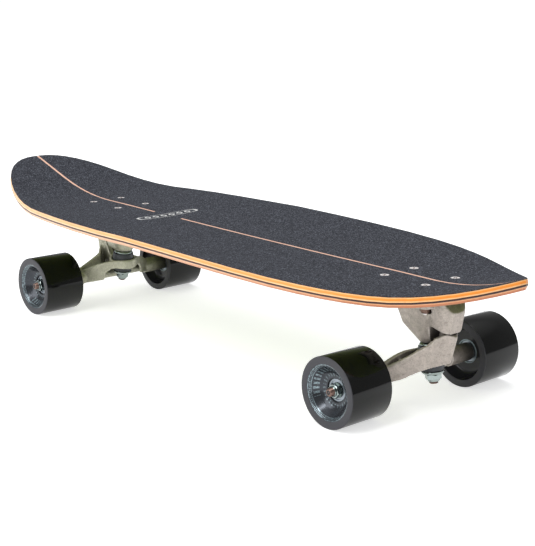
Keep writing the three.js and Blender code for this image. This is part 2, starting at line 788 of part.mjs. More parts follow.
function inboardBand(truck) {
  const plan = toSolid(prism(bandPlan(truck), -TRUCK_HEIGHT, TRUCK_HEIGHT, 1));
  const arch = toSolid(alongX(prism(archShape(), -TRUCK_HEIGHT, TRUCK_HEIGHT, CORNER_DIVISIONS)));
  return plan.intersect(elevation(bandTopShares, bandBottomShares)).subtract(arch);
}

// Two raked plates that meet in a prow under the pivot
function outboardPlates(truck) {
  const outer = [
    [truck.bossFaceReach, ARM_REACH],
    [truck.shoulderReach, truck.shoulderWidth],
    [truck.prowReach, 0],
  ];
  const full = [...outer, ...outer.slice(0, -1).reverse().map(([x, y]) => [x, -y])];
  const inner = full.map(([x, y]) => [x - PLATE_THICKNESS * Math.SQRT2, y]).reverse();
  const plan = new THREE.Shape([...full, ...inner].map(([x, y]) => new THREE.Vector2(x, y)));
  const wall = prism(plan, -TRUCK_HEIGHT, TRUCK_HEIGHT, 1);
  const rake = new THREE.Matrix4().makeShear(0, 0, 0, 0, truck.plateRake, 0);
  wall.translate(0, 0, -truck.neckFootHigh).applyMatrix4(rake).translate(0, 0, truck.neckFootHigh);
  return toSolid(wall).intersect(elevation(truck.plateTopShares, truck.plateBottomShares));
}

function bushingRing(truck) {
  const bore = RING_OUTER_RADIUS - RING_WALL;
  const floor = RING_FLOOR_THICKNESS / 2;
  return toSolid(onKingpin(truck, revolve([
    [RING_HOLE_RADIUS, -floor],
    [bore, -floor],
    [bore, -RING_BOTTOM],
    [RING_OUTER_RADIUS, -RING_BOTTOM],
    [RING_OUTER_RADIUS, RING_TOP],
    [bore, RING_TOP],
    [bore, floor],
    [RING_HOLE_RADIUS, floor],
  ], RING_SEGMENTS)));
}

// The neck rises from between the plates to the pivot's mouth
function neckSolid(truck) {
  const pad = circlePoints(
    steeringPoint(truck, 0),
    truck.neckRadius,
    QUARTER_TURN - steeringAngle(truck),
    ROUND_SEGMENTS,
  );
  const foot = [];
  const ends = [
    [truck.neckFootStart, truck.neckFootHalfWidth, truck.neckFootLow, 0],
    [truck.neckFootStart, truck.neckFootHalfWidth, truck.neckFootHigh, 0],
    [truck.neckFootEnd, RIB_THICKNESS / 2, truck.neckFootLow, truck.plateRake],
    [truck.neckFootEnd, RIB_THICKNESS / 2, truck.neckToeHigh, truck.plateRake],
  ];
  for (const [x, halfWidth, z, rake] of ends) {
    const raked = x + rake * (z - truck.neckFootHigh);
    foot.push(new THREE.Vector3(raked, -halfWidth, z), new THREE.Vector3(raked, halfWidth, z));
  }
  return toSolid(hull([...pad, ...foot]));
}

// The stub turns in the pivot cup
function pivotStub(truck) {
  const root = -3 * NECK_GAP;
  return toSolid(onSteeringAxis(truck, revolve([
    [0, root],
    [STUB_RADIUS, root],
    [STUB_RADIUS, STUB_LENGTH - STUB_RADIUS / 2],
    [STUB_RADIUS / 2, STUB_LENGTH],
    [0, STUB_LENGTH],
  ], ROUND_SEGMENTS), 0));
}

// A web rises in a curve from the ring to the inboard side of the pivot's neck
function centreWeb(truck) {
  const ringEdge = truck.ringReach + RING_OUTER_RADIUS - RING_WALL / 2;
  const low = truck.ringHeight - RING_BOTTOM / 2;
  const rim = truck.ringHeight + RING_TOP - RING_WALL / 2;
  const shape = new THREE.Shape();
  shape.moveTo(ringEdge, low);
  shape.lineTo(ringEdge, rim);
  shape.quadraticCurveTo(truck.webCrestReach, rim, truck.webCrestReach, truck.webCrestHeight);
  shape.lineTo(truck.neckFootEnd, truck.webCrestHeight);
  shape.lineTo(truck.neckFootEnd, truck.neckToeHigh);
  shape.lineTo(truck.neckFootEnd - truck.plateRake * (truck.neckToeHigh - low), low);
  const web = prism(shape, -truck.webHalfWidth, truck.webHalfWidth, CORNER_DIVISIONS);
  return toSolid(web.rotateX(QUARTER_TURN));
}

// Short upright ribs stand on the band's inner wall, one on each side of the arch
function wallRibs(truck) {
  const armX = -BOSS_RADIUS / 2;
  const ringX = truck.ringReach - RING_OUTER_RADIUS;
  const wallX = armX + (ringX - armX) / 2 + BAND_THICKNESS;
  return joined([-1, 1].map((side) => {
    const points = [];
    for (const x of [wallX - BAND_THICKNESS / 2, wallX + RIB_DEPTH]) {
      for (const y of [side * RIB_REACH, side * (RIB_REACH + RIB_THICKNESS)]) {
        points.push(new THREE.Vector3(x, y, ARCH_HEIGHT - RIB_DEPTH));
        points.push(new THREE.Vector3(x, y, ARCH_HEIGHT + RIB_THICKNESS));
      }
    }
    return toSolid(hull(points));
  }));
}

function axleHousing(truck) {
  const housing = toSolid(alongY(disc(truck.housingRadius, -BOSS_START, BOSS_START, ROUND_SEGMENTS)));
  const bosses = [-1, 1].map((side) => {
    const from = Math.min(side * BOSS_START, side * hangerHalfWidth);
    const to = Math.max(side * BOSS_START, side * hangerHalfWidth);
    return toSolid(alongY(disc(BOSS_RADIUS, from, to, ROUND_SEGMENTS)));
  });
  return joined([housing, ...bosses]);
}

// Room for the bushings, cut through all that meets the ring
function bushingRooms(truck) {
  const seat = RING_OUTER_RADIUS - RING_WALL;
  const floor = RING_FLOOR_THICKNESS / 2;
  const far = TRUCK_HEIGHT / 2;
  return joined([
    toSolid(onKingpin(truck, disc(seat, floor, far, RING_SEGMENTS))),
    toSolid(onKingpin(truck, disc(seat, -far, -floor, RING_SEGMENTS))),
    toSolid(onKingpin(truck, disc(RING_HOLE_RADIUS, -far, far, ROUND_SEGMENTS))),
  ]);
}

// The baseplate's body turned about the steering axis, which the hanger has to clear at full lean
function leanRoom(truck) {
  const pivot = steeringPoint(truck, 0);
  const axis = steeringPoint(truck, 1).sub(pivot);
  const body = bodySolid(truck);
  return joined(leanRoomDegrees.map((degrees) => {
    const turn = new THREE.Matrix4().makeRotationAxis(axis, THREE.MathUtils.degToRad(degrees));
    const back = new THREE.Matrix4().makeTranslation(-pivot.x, -pivot.y, -pivot.z);
    const there = new THREE.Matrix4().makeTranslation(pivot.x, pivot.y, pivot.z);
    return body.transform(there.multiply(turn).multiply(back).elements);
  }));
}

function hangerSolid(truck) {
  const bore = toSolid(alongY(disc(
    AXLE_RADIUS + AXLE_CLEARANCE,
    -AXLE_HALF_LENGTH,
    AXLE_HALF_LENGTH,
    SMALL_SEGMENTS,
  )));
  const casting = joined([
    axleHousing(truck),
    inboardBand(truck),
    wallRibs(truck),
    outboardPlates(truck),
    bushingRing(truck),
    centreWeb(truck),
    neckSolid(truck),
  ]);
  return casting
    .subtract(mouthHalfSpace(truck, -NECK_GAP, true))
    .subtract(leanRoom(truck))
    .add(pivotStub(truck))
    .subtract(bushingRooms(truck))
    .subtract(bore);
}

// Baseplate: a flange under the deck, a tower for the kingpin and a lobe for the pivot cup

function roundedRectangle(x0, x1, halfWidth, corner) {
  const shape = new THREE.Shape();
  shape.moveTo(x0 + corner, -halfWidth);
  shape.lineTo(x1 - corner, -halfWidth);
  shape.absarc(x1 - corner, -halfWidth + corner, corner, -QUARTER_TURN, 0);
  shape.lineTo(x1, halfWidth - corner);
  shape.absarc(x1 - corner, halfWidth - corner, corner, 0, QUARTER_TURN);
  shape.lineTo(x0 + corner, halfWidth);
  shape.absarc(x0 + corner, halfWidth - corner, corner, QUARTER_TURN, HALF_TURN);
  shape.lineTo(x0, -halfWidth + corner);
  shape.absarc(x0 + corner, -halfWidth + corner, corner, HALF_TURN, HALF_TURN + QUARTER_TURN);
  return shape;
}

function kingpinPoint(truck, distance) {
  return new THREE.Vector3(
    truck.ringReach - distance * Math.sin(kingpinTilt),
    0,
    truck.ringHeight + distance * Math.cos(kingpinTilt),
  );
}

// Points of a rounded rectangle that stands square to the kingpin
function towerRing(truck, distance, inset) {
  const points = [];
  for (const along of [-1, 1]) {
    for (const across of [-1, 1]) {
      const reach = truck.towerShift + along * (truck.towerHalfLength - truck.towerCorner);
      const corner = kingpinPoint(truck, distance);
      corner.x += reach * Math.cos(kingpinTilt);
      corner.z += reach * Math.sin(kingpinTilt);
      corner.y += across * (truck.towerHalfWidth - truck.towerCorner);
      points.push(...circlePoints(corner, truck.towerCorner - inset, -kingpinTilt, ROUND_SEGMENTS));
    }
  }
  return points;
}

// Points of a level ring round the lobe, which is a circle or two circles side by side
function lobeRing(truck, reach, height, radius) {
  return [-1, 1].flatMap((side) => circlePoints(
    new THREE.Vector3(reach, side * truck.lobeSpread, height),
    radius,
    0,
    ROUND_SEGMENTS,
  ));
}

// The body under the flange: a tower round the kingpin, drawn out to the lobe that holds the pivot cup
function bodySolid(truck) {
  const footReach = UPPER_STACK_REACH + SEAT_GAP;
  const top = TRUCK_HEIGHT - FLANGE_THICKNESS / 2;
  const points = [
    ...towerRing(truck, footReach, TOWER_FOOT_INSET),
    ...towerRing(truck, footReach + TOWER_SHOULDER_HEIGHT, 0),
    ...lobeRing(truck, truck.lobeReach, truck.lobeBottom, truck.lobeRadius - LOBE_EDGE),
    ...lobeRing(truck, truck.lobeReach, truck.lobeBottom + LOBE_EDGE, truck.lobeRadius),
    ...lobeRing(truck, truck.lobeTopReach, truck.lobeTopHeight, truck.lobeTopRadius),
    ...lobeRing(truck, truck.lobeTopReach, top, truck.lobeTopRadius),
  ];
  for (const side of [-1, 1]) {
    const topY = side * truck.bodyTopHalfWidth;
    points.push(new THREE.Vector3(truck.bellyReach, side * truck.bellyHalfWidth, truck.bellyHeight));
    points.push(new THREE.Vector3(truck.bodyTopStart, topY, top));
    points.push(new THREE.Vector3(truck.boltCentre + BOLT_SPACING_ALONG / 2, topY, top));
  }
  return toSolid(hull(points))
    .subtract(notchSolid(truck))
    .subtract(screwBores(truck, NUT_ROOM_RADIUS, top - NUT_ROOM_DEPTH, top));
}

// The lobe's shoulders are scooped out up to the flange
function lobeScoops(truck) {
  return joined(truck.scoops.map((scoop) => toSolid(placed(
    new THREE.IcosahedronGeometry(scoop.radius, SCOOP_DETAIL),
    scoop.reach,
    scoop.side,
    scoop.height,
  ))));
}

// The notch between the tower and the lobe, open downward, that the hanger's neck turns in
function notchSolid(truck) {
  const turn = THREE.MathUtils.degToRad(truck.mouthPlaneDegrees);
  const ceiling = (x) => truck.mouthHeight - (x - truck.mouthReach) * Math.tan(turn);
  const far = truck.mouthReach + TRUCK_HEIGHT;
  const corner = truck.notchEnd + NOTCH_CORNER;
  const high = Math.min(ceiling(corner), truck.notchTop + NOTCH_CORNER);
  const highReach = truck.mouthReach + (truck.mouthHeight - high) / Math.tan(turn);
  const outline = [
    [truck.notchStart, -TRUCK_HEIGHT],
    [truck.notchStart, truck.ringHeight + UPPER_STACK_REACH],
    [truck.notchEnd, truck.notchTop],
    [corner, high],
    [highReach + NECK_GAP / 2, high],
    [far, ceiling(far)],
    [far, -2 * TRUCK_HEIGHT],
  ];
  const shape = new THREE.Shape(outline.map(([x, z]) => new THREE.Vector2(x, z)));
  const notch = prism(shape, -TRUCK_HEIGHT, TRUCK_HEIGHT, 1);
  return toSolid(notch.rotateX(QUARTER_TURN));
}

function baseplateSolid(truck) {
  const low = TRUCK_HEIGHT - FLANGE_THICKNESS;
  const flange = toSolid(prism(flangeOutline(truck, FLANGE_MARGIN), low, TRUCK_HEIGHT, CORNER_DIVISIONS));
  const lobeCap = toSolid(hull([low, TRUCK_HEIGHT].flatMap((height) => (
    lobeRing(truck, truck.lobeTopReach, height, truck.lobeCapRadius)
  ))));
  const pinHole = toSolid(onKingpin(truck, disc(
    KINGPIN_RADIUS + KINGPIN_CLEARANCE,
    0,
    TRUCK_HEIGHT,
    ROUND_SEGMENTS,
  )));
  const headPocket = toSolid(onKingpin(truck, disc(
    HEAD_POCKET_RADIUS,
    KINGPIN_HEAD_START - SEAT_GAP,
    TRUCK_HEIGHT,
    ROUND_SEGMENTS,
  )));
  const socket = toSolid(onSteeringAxis(truck, disc(
    cupRadius + SEAT_GAP,
    -truck.lobeRadius,
    CUP_RECESS + CUP_DEPTH + CUP_WALL + SEAT_GAP,
    ROUND_SEGMENTS,
  ), 0));
  return joined([flange, lobeCap, bodySolid(truck)])
    .subtract(lobeScoops(truck))
    .subtract(pinHole)
    .subtract(headPocket)
    .subtract(socket)
    .subtract(screwBores(truck, SCREW_RADIUS + SCREW_CLEARANCE, 0, TRUCK_HEIGHT + CUT_OVERRUN));
}

// Kingpin stack, along Z from the bushing ring's centre

function kingpinSolid(truck) {
  const chamfer = AXLE_CHAMFER;
  const tip = -truck.lowerStackReach - KINGPIN_TIP_LENGTH;
  const shank = toSolid(revolve([
    [0, tip],
    [KINGPIN_RADIUS - chamfer, tip],
    [KINGPIN_RADIUS, tip + chamfer],
    [KINGPIN_RADIUS, KINGPIN_HEAD_START + chamfer],
    [0, KINGPIN_HEAD_START + chamfer],
  ], SMALL_SEGMENTS));
  const headTop = KINGPIN_HEAD_START + KINGPIN_HEAD_THICKNESS;
  return shank.add(toSolid(disc(KINGPIN_HEAD_RADIUS, KINGPIN_HEAD_START, headTop, HEX_SIDES)));
}

// A dished washer whose rim turns towards the bushing
function cupWasherSolid(facing) {
  const bore = KINGPIN_RADIUS + KINGPIN_CLEARANCE;
  const rimInner = WASHER_RADIUS - WASHER_THICKNESS;
  const solid = toSolid(revolve([
    [bore, 0],
    [WASHER_RADIUS - WASHER_RIM, 0],
    [WASHER_RADIUS, WASHER_RIM],
    [WASHER_RADIUS, WASHER_THICKNESS + WASHER_RIM],
    [rimInner, WASHER_THICKNESS + WASHER_RIM],
    [rimInner - WASHER_RIM, WASHER_THICKNESS],
    [bore, WASHER_THICKNESS],
  ], ROUND_SEGMENTS));
  return facing > 0 ? solid : solid.mirror([0, 0, 1]);
}

// A bushing stands in the ring's seat and narrows to its end, where it sits inside the washer's rim
function bushingSolid(seatRadius, endRadius, start, end) {
  const bore = KINGPIN_RADIUS + KINGPIN_CLEARANCE;
  const way = Math.sign(end - start);
  const rimStart = end - way * WASHER_RIM;
  return toSolid(revolve([
    [bore, start],
    [seatRadius, start],
    [seatRadius, start + way * BUSHING_LIP_HEIGHT],
    [endRadius, rimStart - way * SEAT_GAP],
    [WASHER_RADIUS - WASHER_THICKNESS - 2 * SEAT_GAP, rimStart - way * SEAT_GAP],
    [WASHER_RADIUS - WASHER_THICKNESS - 2 * SEAT_GAP - WASHER_RIM, end],
    [bore, end],
  ], ROUND_SEGMENTS));
}

function kingpinNutSolid() {
  const bore = KINGPIN_RADIUS + KINGPIN_CLEARANCE;
  const body = toSolid(disc(hexRadius(KINGPIN_NUT_ACROSS_FLATS), -KINGPIN_NUT_HEIGHT, 0, HEX_SIDES));
  return body.subtract(toSolid(disc(bore, -KINGPIN_NUT_HEIGHT - CUT_OVERRUN, CUT_OVERRUN, SMALL_SEGMENTS)));
}

function buildKingpinStack(truck) {
  const stack = new THREE.Group();
  stack.position.set(truck.ringReach, 0, truck.ringHeight);
  stack.rotation.y = -kingpinTilt;
  const floor = RING_FLOOR_THICKNESS / 2;
  const upperWasher = pieceOf(`${truck.prefix}_upper_cup_washer`, cupWasherSolid(-1), 'zinc');
  upperWasher.position.z = UPPER_STACK_REACH;
  const lowerWasher = pieceOf(`${truck.prefix}_lower_cup_washer`, cupWasherSolid(1), 'zinc');
  lowerWasher.position.z = -truck.lowerStackReach;
  const nut = pieceOf(`${truck.prefix}_kingpin_nut`, kingpinNutSolid(), 'zinc');
  nut.position.z = -truck.lowerStackReach - SEAT_GAP;
  const upperBushing = bushingSolid(
    UPPER_BUSHING_SEAT_RADIUS,
    UPPER_BUSHING_END_RADIUS,
    floor + SEAT_GAP,
    UPPER_STACK_REACH - WASHER_THICKNESS - SEAT_GAP,
  );
  const lowerBushing = bushingSolid(
    LOWER_BUSHING_SEAT_RADIUS,
    LOWER_BUSHING_END_RADIUS,
    -floor - SEAT_GAP,
    -truck.lowerStackReach + WASHER_THICKNESS + SEAT_GAP,
  );
  stack.add(
    pieceOf(`${truck.prefix}_kingpin`, kingpinSolid(truck), 'zinc'),
    upperWasher,
    lowerWasher,
    nut,
    pieceOf(`${truck.prefix}_boardside_bushing`, upperBushing, 'bushing'),
    pieceOf(`${truck.prefix}_roadside_bushing`, lowerBushing, 'bushing'),
  );
  return stack;
}

function pivotCup(truck) {
  const inner = STUB_RADIUS + CUP_CLEARANCE;
  const solid = toSolid(onSteeringAxis(truck, revolve([
    [0, CUP_DEPTH],
    [inner, CUP_DEPTH],
    [inner, 0],
    [cupRadius, 0],
    [cupRadius, CUP_DEPTH + CUP_WALL],
    [0, CUP_DEPTH + CUP_WALL],
  ], ROUND_SEGMENTS), CUP_RECESS));
  return pieceOf(`${truck.prefix}_pivot_cup`, solid, 'cup');
}

// The axle carries a raised spacer between the bearings of each wheel
function axlePiece(truck) {
  const rod = toSolid(revolve([
    [0, -AXLE_HALF_LENGTH],
    [AXLE_RADIUS - AXLE_CHAMFER, -AXLE_HALF_LENGTH],
    [AXLE_RADIUS, -AXLE_HALF_LENGTH + AXLE_CHAMFER],
    [AXLE_RADIUS, AXLE_HALF_LENGTH - AXLE_CHAMFER],
    [AXLE_RADIUS - AXLE_CHAMFER, AXLE_HALF_LENGTH],
    [0, AXLE_HALF_LENGTH],
  ], SMALL_SEGMENTS));
  const spacerHalf = SPACER_LENGTH / 2 - BEARING_FIT;
  const spacers = [-1, 1].map((side) => toSolid(placed(
    disc(SPACER_RADIUS, -spacerHalf, spacerHalf, SMALL_SEGMENTS),
    0,
    0,
    side * WHEEL_CENTRE_REACH,
  )));
  const solid = joined([rod, ...spacers]).rotate([-QUARTER_DEGREES, 0, 0]);
  return pieceOf(`${truck.prefix}_axle`, solid, 'copper');
}

// Wheel group, along Z from the wheel's middle, outer side towards +Z

function wheelSolid() {
  const half = WHEEL_WIDTH / 2;
  const cornerRadius = WHEEL_RADIUS / Math.cos(Math.PI / WHEEL_SEGMENTS);
  const seat = BEARING_RADIUS + BEARING_FIT;
  const shoulder = SPACER_LENGTH / 2 - BEARING_FIT;
  const hubFace = half - HUB_FACE_DEPTH;
  const bowl = outerBowlShares.map(([radiusShare, depthShare]) => [
    radiusShare * OUTER_BOWL_RADIUS,
    half - depthShare * HUB_FACE_DEPTH,
  ]);
  return toSolid(revolve([
    [HUB_SHOULDER_RADIUS, -shoulder],
    [HUB_SHOULDER_RADIUS, shoulder],
    [seat, shoulder],
    [seat, hubFace],
    ...bowl,
    [OUTER_BOWL_RADIUS, half - OUTER_FACE_DROP],
    [cornerRadius - TREAD_ROUNDING, half],
    [cornerRadius, half - TREAD_ROUNDING],
    [cornerRadius, -half + TREAD_ROUNDING],
    [cornerRadius - TREAD_ROUNDING, -half],
    [INNER_LIP_RADIUS, -half],
    [INNER_DISH_RADIUS, -half + INNER_DISH_DEPTH],
    [seat, -hubFace],
    [seat, -shoulder],
  ], WHEEL_SEGMENTS, Math.PI / WHEEL_SEGMENTS));
}

function bearingSolid() {
  const bore = AXLE_RADIUS + AXLE_CLEARANCE;
  return toSolid(tube(bore, BEARING_RADIUS, -BEARING_WIDTH / 2, BEARING_WIDTH / 2, BEARING_SEGMENTS));
}

function axleNutSolid() {
  const body = toSolid(disc(hexRadius(AXLE_NUT_ACROSS_FLATS), 0, AXLE_NUT_HEIGHT, HEX_SIDES));
  const bore = AXLE_RADIUS + AXLE_CLEARANCE;
  return body.subtract(toSolid(disc(bore, -CUT_OVERRUN, AXLE_NUT_HEIGHT + CUT_OVERRUN, SMALL_SEGMENTS)));
}

function buildWheel(name, side) {
  const group = new THREE.Group();
  group.position.y = side * WHEEL_CENTRE_REACH;
  group.rotation.x = -side * QUARTER_TURN;
  const bearingReach = (SPACER_LENGTH + BEARING_WIDTH) / 2;
  const outerBearing = pieceOf(`${name}_outer_bearing`, bearingSolid(), 'bearing');
  outerBearing.position.z = bearingReach;
  const innerBearing = pieceOf(`${name}_inner_bearing`, bearingSolid(), 'bearing');
  innerBearing.position.z = -bearingReach;
  const nut = pieceOf(`${name}_axle_nut`, axleNutSolid(), 'zinc');
  nut.position.z = bearingReach + BEARING_WIDTH / 2 + SPEED_WASHER_THICKNESS;
  group.add(
    pieceOf(`${name}_wheel`, wheelSolid(), 'urethane'),
    outerBearing,
    innerBearing,
    nut,
  );
  return group;
}

function buildTruck(truck) {
  const group = new THREE.Group();
  const outboard = Math.sign(truck.axleX);
  group.position.set(truck.axleX, 0, WHEEL_RADIUS);
  group.rotation.z = outboard > 0 ? 0 : HALF_TURN;
  group.add(
    riserPad(truck),
    pieceOf(`${truck.prefix}_baseplate`, baseplateSolid(truck), 'cast'),
    pieceOf(`${truck.prefix}_hanger`, hangerSolid(truck), 'cast'),
    axlePiece(truck),
    pivotCup(truck),
    buildKingpinStack(truck),
    buildWheel(`${truck.prefix}_${outboard > 0 ? 'left' : 'right'}`, 1),
    buildWheel(`${truck.prefix}_${outboard > 0 ? 'right' : 'left'}`, -1),
  );
  return group;
}

const trucks = [frontTruck, rearTruck];
const board = new THREE.Group();
board.add(buildDeck(trucks), ...trucks.map(buildTruck));

export default board;
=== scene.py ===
import json
import math
from collections import namedtuple

import bmesh
import bpy
from mathutils import Matrix, Vector


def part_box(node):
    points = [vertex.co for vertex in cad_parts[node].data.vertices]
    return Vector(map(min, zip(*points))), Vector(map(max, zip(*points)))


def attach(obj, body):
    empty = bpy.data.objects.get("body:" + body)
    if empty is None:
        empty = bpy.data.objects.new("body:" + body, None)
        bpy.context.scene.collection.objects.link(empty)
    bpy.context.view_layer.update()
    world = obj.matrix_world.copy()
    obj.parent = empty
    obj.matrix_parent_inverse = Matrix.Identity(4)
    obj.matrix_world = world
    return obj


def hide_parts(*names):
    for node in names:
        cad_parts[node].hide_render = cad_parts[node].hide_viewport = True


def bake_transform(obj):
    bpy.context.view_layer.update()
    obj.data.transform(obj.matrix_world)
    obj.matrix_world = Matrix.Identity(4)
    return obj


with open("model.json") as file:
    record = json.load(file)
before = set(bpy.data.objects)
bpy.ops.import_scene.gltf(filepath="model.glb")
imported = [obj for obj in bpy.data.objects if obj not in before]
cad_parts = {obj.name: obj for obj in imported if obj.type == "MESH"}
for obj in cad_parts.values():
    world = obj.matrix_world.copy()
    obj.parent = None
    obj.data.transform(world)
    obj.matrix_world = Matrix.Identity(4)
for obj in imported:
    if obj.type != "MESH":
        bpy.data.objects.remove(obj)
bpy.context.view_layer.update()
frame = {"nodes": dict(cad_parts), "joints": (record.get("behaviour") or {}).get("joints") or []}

# The look of a surf skateboard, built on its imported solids.
# The scene is in metres. A size with no unit beside it is in millimetres, and MM turns it into metres.

MM = 0.001

# Camera at the photograph's viewing angle: place and clipping in metres
CAMERA_PLACE = (1.1158, -0.8879, 0.43)
CAMERA_YAW_DEGREES = 139.8
CAMERA_PITCH_DEGREES = -13.91
CAMERA_ROLL_DEGREES = -0.47
CAMERA_LENS = 85.15
CAMERA_SENSOR = 36.0
CLIP_NEAR = 0.05
CLIP_FAR = 60.0

# Lamps: places and sizes in metres, power in watts
LAMP_AIM = (0, 0, 0.1)
LAMPS = {
    "key": {"place": (-0.4, -2.65, 1.6), "size": 2.6, "power": 57.0},
    "fill": {"place": (0.65, -1.8, 2.8), "size": 0.9, "power": 20.0},
    "back": {"place": (-0.3, 0.9, 2.9), "size": 2.2, "power": 22.0},
}

# World and floor: gloss sees a dimmer sky up to LOW_SKY_TOP and a white one from HIGH_SKY_FOOT
WHITE = (1.0, 1.0, 1.0, 1.0)
SKY_COLOUR = (0.96, 0.98, 1.0, 1.0)
SKY_LEVEL = 0.55
LOW_SKY_LEVEL = 0.32
LOW_SKY_TOP = 0.6
HIGH_SKY_FOOT = 0.92
FLOOR_REACH_METRES = 12.0
FLOOR_COLOUR = (0.86, 0.86, 0.86, 1.0)
FLOOR_GLOW = 0.6

# Deck, as in the solids
NOSE_LENGTH = 444.3
TAIL_LENGTH = 394.5
WIDEST_X = (TAIL_LENGTH - NOSE_LENGTH) / 2
DECK_HALF_WIDTH = 126.9
DECK_TOP = 127.6
DECK_DEPTH = 12.0
NOSE_BEND_START = 309.5
NOSE_BEND_RADIUS = 285.0
NOSE_KICK_DEGREES = 21.9
TAIL_BEND_START = 243.4
TAIL_BEND_RADIUS = 358.5
TAIL_KICK_DEGREES = 17.4
WAIST_DIP = 1.2
WAIST_DIP_NOSE_END = 263.6
WAIST_DIP_TAIL_END = 198.4
CONCAVE_DEPTH = 8.2
NOSE_CONCAVE = {"end_depth": 3.2, "reach": 303.5, "power": 2.1}
TAIL_CONCAVE = {"end_depth": 0.4, "reach": 690.0, "power": 0.7}

# Pin line strips in the grip, and the bare badge
PIN_LINE_HALF_WIDTH = 1.48
PIN_LINE_DEPTH = 0.02
PIN_LINE_FLOOR = 0.84
PIN_LINE_STEP = 4.0
PIN_LINES = {"tail": (-416.5, -145.9), "nose": (-91.9, 416.0)}
BADGE_X = -118.9

# Sizes that the boxes of the solids give, rounded to the last digit that the solids use
FRAME_DIGITS = 3
Triple = namedtuple("Triple", "x y z")


def frame_box(node):
    """The middle and the half size of a solid's box."""
    low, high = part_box(node)
    middle = Triple(*(round((a + b) / 2 / MM, FRAME_DIGITS) for a, b in zip(low, high)))
    half = Triple(*(round((b - a) / 2 / MM, FRAME_DIGITS) for a, b in zip(low, high)))
    return middle, half


WHEEL_MIDDLE, WHEEL_HALVES = frame_box("front_left_wheel")
WHEEL_REACH = WHEEL_MIDDLE.y
WHEEL_RADIUS = WHEEL_HALVES.z
WHEEL_HALF = WHEEL_HALVES.y
BEARING_MIDDLE, BEARING_HALVES = frame_box("front_left_outer_bearing")
BEARING_REACH = BEARING_MIDDLE.y - WHEEL_REACH
BEARING_RADIUS = BEARING_HALVES.z
BEARING_WIDTH = 2 * BEARING_HALVES.y
AXLE_HALVES = frame_box("front_axle")[1]
AXLE_HALF = AXLE_HALVES.y
SPACER_RADIUS = AXLE_HALVES.x
AXLE_NUT_HALVES = frame_box("front_left_axle_nut")[1]
AXLE_NUT_FLATS = 2 * AXLE_NUT_HALVES.x
AXLE_NUT_HEIGHT = 2 * AXLE_NUT_HALVES.y
SCREW_HALVES = frame_box("front_inner_left_screw")[1]
SCREW_HEAD_RADIUS = SCREW_HALVES.x
SCREW_LENGTH = 2 * SCREW_HALVES.z
LOCKNUT_HALVES = frame_box("front_inner_left_locknut")[1]
LOCKNUT_FLATS = 2 * LOCKNUT_HALVES.x
LOCKNUT_HEIGHT = 2 * LOCKNUT_HALVES.z

# Other sizes of screws, wheels and axles, as in the solids
SCREW_RADIUS = 2.4
SCREW_HEAD_DEPTH = 2.7
HUB_BORE = 9.2
BEARING_BORE = 4.25
AXLE_RADIUS = 4.0
SPACER_HALF = 4.9
SPEED_WASHER_ROOM = 0.8

# Kingpin stack, as in the solids
KINGPIN_RADIUS = 4.7
KINGPIN_TILT_DEGREES = 8.0
KINGPIN_TIP = 9.6
KINGPIN_HEAD_START = 50.0
KINGPIN_HEAD_THICKNESS = 5.0
KINGPIN_HEAD_FLATS = 13.8
KINGPIN_NUT_FLATS = 14.3
KINGPIN_NUT_HEIGHT = 7.0
WASHER_RADIUS = 11.3
WASHER_THICKNESS = 1.4
WASHER_RIM = 1.8
UPPER_REACH = 16.8
RING_FLOOR_HALF = 2.3
SEAT_GAP = 0.3
BORE_GAP = 0.3

# Trucks: a lean joint is in the middle of the bushing ring, and the lower reach goes from there to the
# seat of the lower cup washer
RING_MIDDLES = {joint["name"]: Vector(joint["pos_m"]) for joint in frame["joints"]}
TRUCKS = {
    "front": {"facing": 0.0, "lower_reach": 15.4},
    "rear": {"facing": math.pi, "lower_reach": 13.9},
}
SIDES = ("left", "right")

# Mesh fineness: segments round a full turn, and the angle over which an edge shows sharp
ROUND = 96
SMALL_ROUND = 48
WHEEL_ROUND = 128
SHARP_DEGREES = 32
MERGE_METRES = 1e-7


# Mesh helpers


def link(name, mesh):
    piece = bpy.data.objects.new(name, mesh)
    bpy.context.scene.collection.objects.link(piece)
    return piece


def shade(mesh, sharp_degrees):
    mesh.shade_smooth()
    mesh.set_sharp_from_angle(angle=math.radians(sharp_degrees))


def new_piece(name, vertices, faces, material, sharp_degrees=SHARP_DEGREES):
    mesh = bpy.data.meshes.new(name)
    mesh.from_pydata([tuple(x * MM for x in v) for v in vertices], [], faces)
    mesh.update()
    cleaned = bmesh.new()
    cleaned.from_mesh(mesh)
    bmesh.ops.remove_doubles(cleaned, verts=cleaned.verts, dist=MERGE_METRES)
    bmesh.ops.recalc_face_normals(cleaned, faces=cleaned.faces)
    cleaned.to_mesh(mesh)
    cleaned.free()
    shade(mesh, sharp_degrees)
    mesh.materials.append(material)
    return link(name, mesh)


def ring_faces(count, segments, closed):
    """Faces between rings of vertices in a row; closed joins the last ring to the first."""
    faces = []
    for i in range(count if closed else count - 1):
        j = (i + 1) % count
        for k in range(segments):
            n = (k + 1) % segments
            faces.append((i * segments + k, i * segments + n, j * segments + n, j * segments + k))
    return faces


def lathe(name, profile, material, segments=ROUND, sharp_degrees=SHARP_DEGREES):
    """A closed profile of (radius, height) turned about Z, or one that starts and ends on the axis."""
    on_axis = profile[0][0] == 0
    vertices = []
    for radius, height in profile:
        for k in range(segments):
            angle = 2 * math.pi * k / segments
            vertices.append((radius * math.cos(angle), radius * math.sin(angle), height))
    faces = ring_faces(len(profile), segments, not on_axis)
    return new_piece(name, vertices, faces, material, sharp_degrees)


# Rounded corners: a corner cuts at most one part in CORNER_SHARE off each line beside it
CORNER_STEPS = 4
CORNER_SHARE = 2.2
SAME_POINT = 1e-6


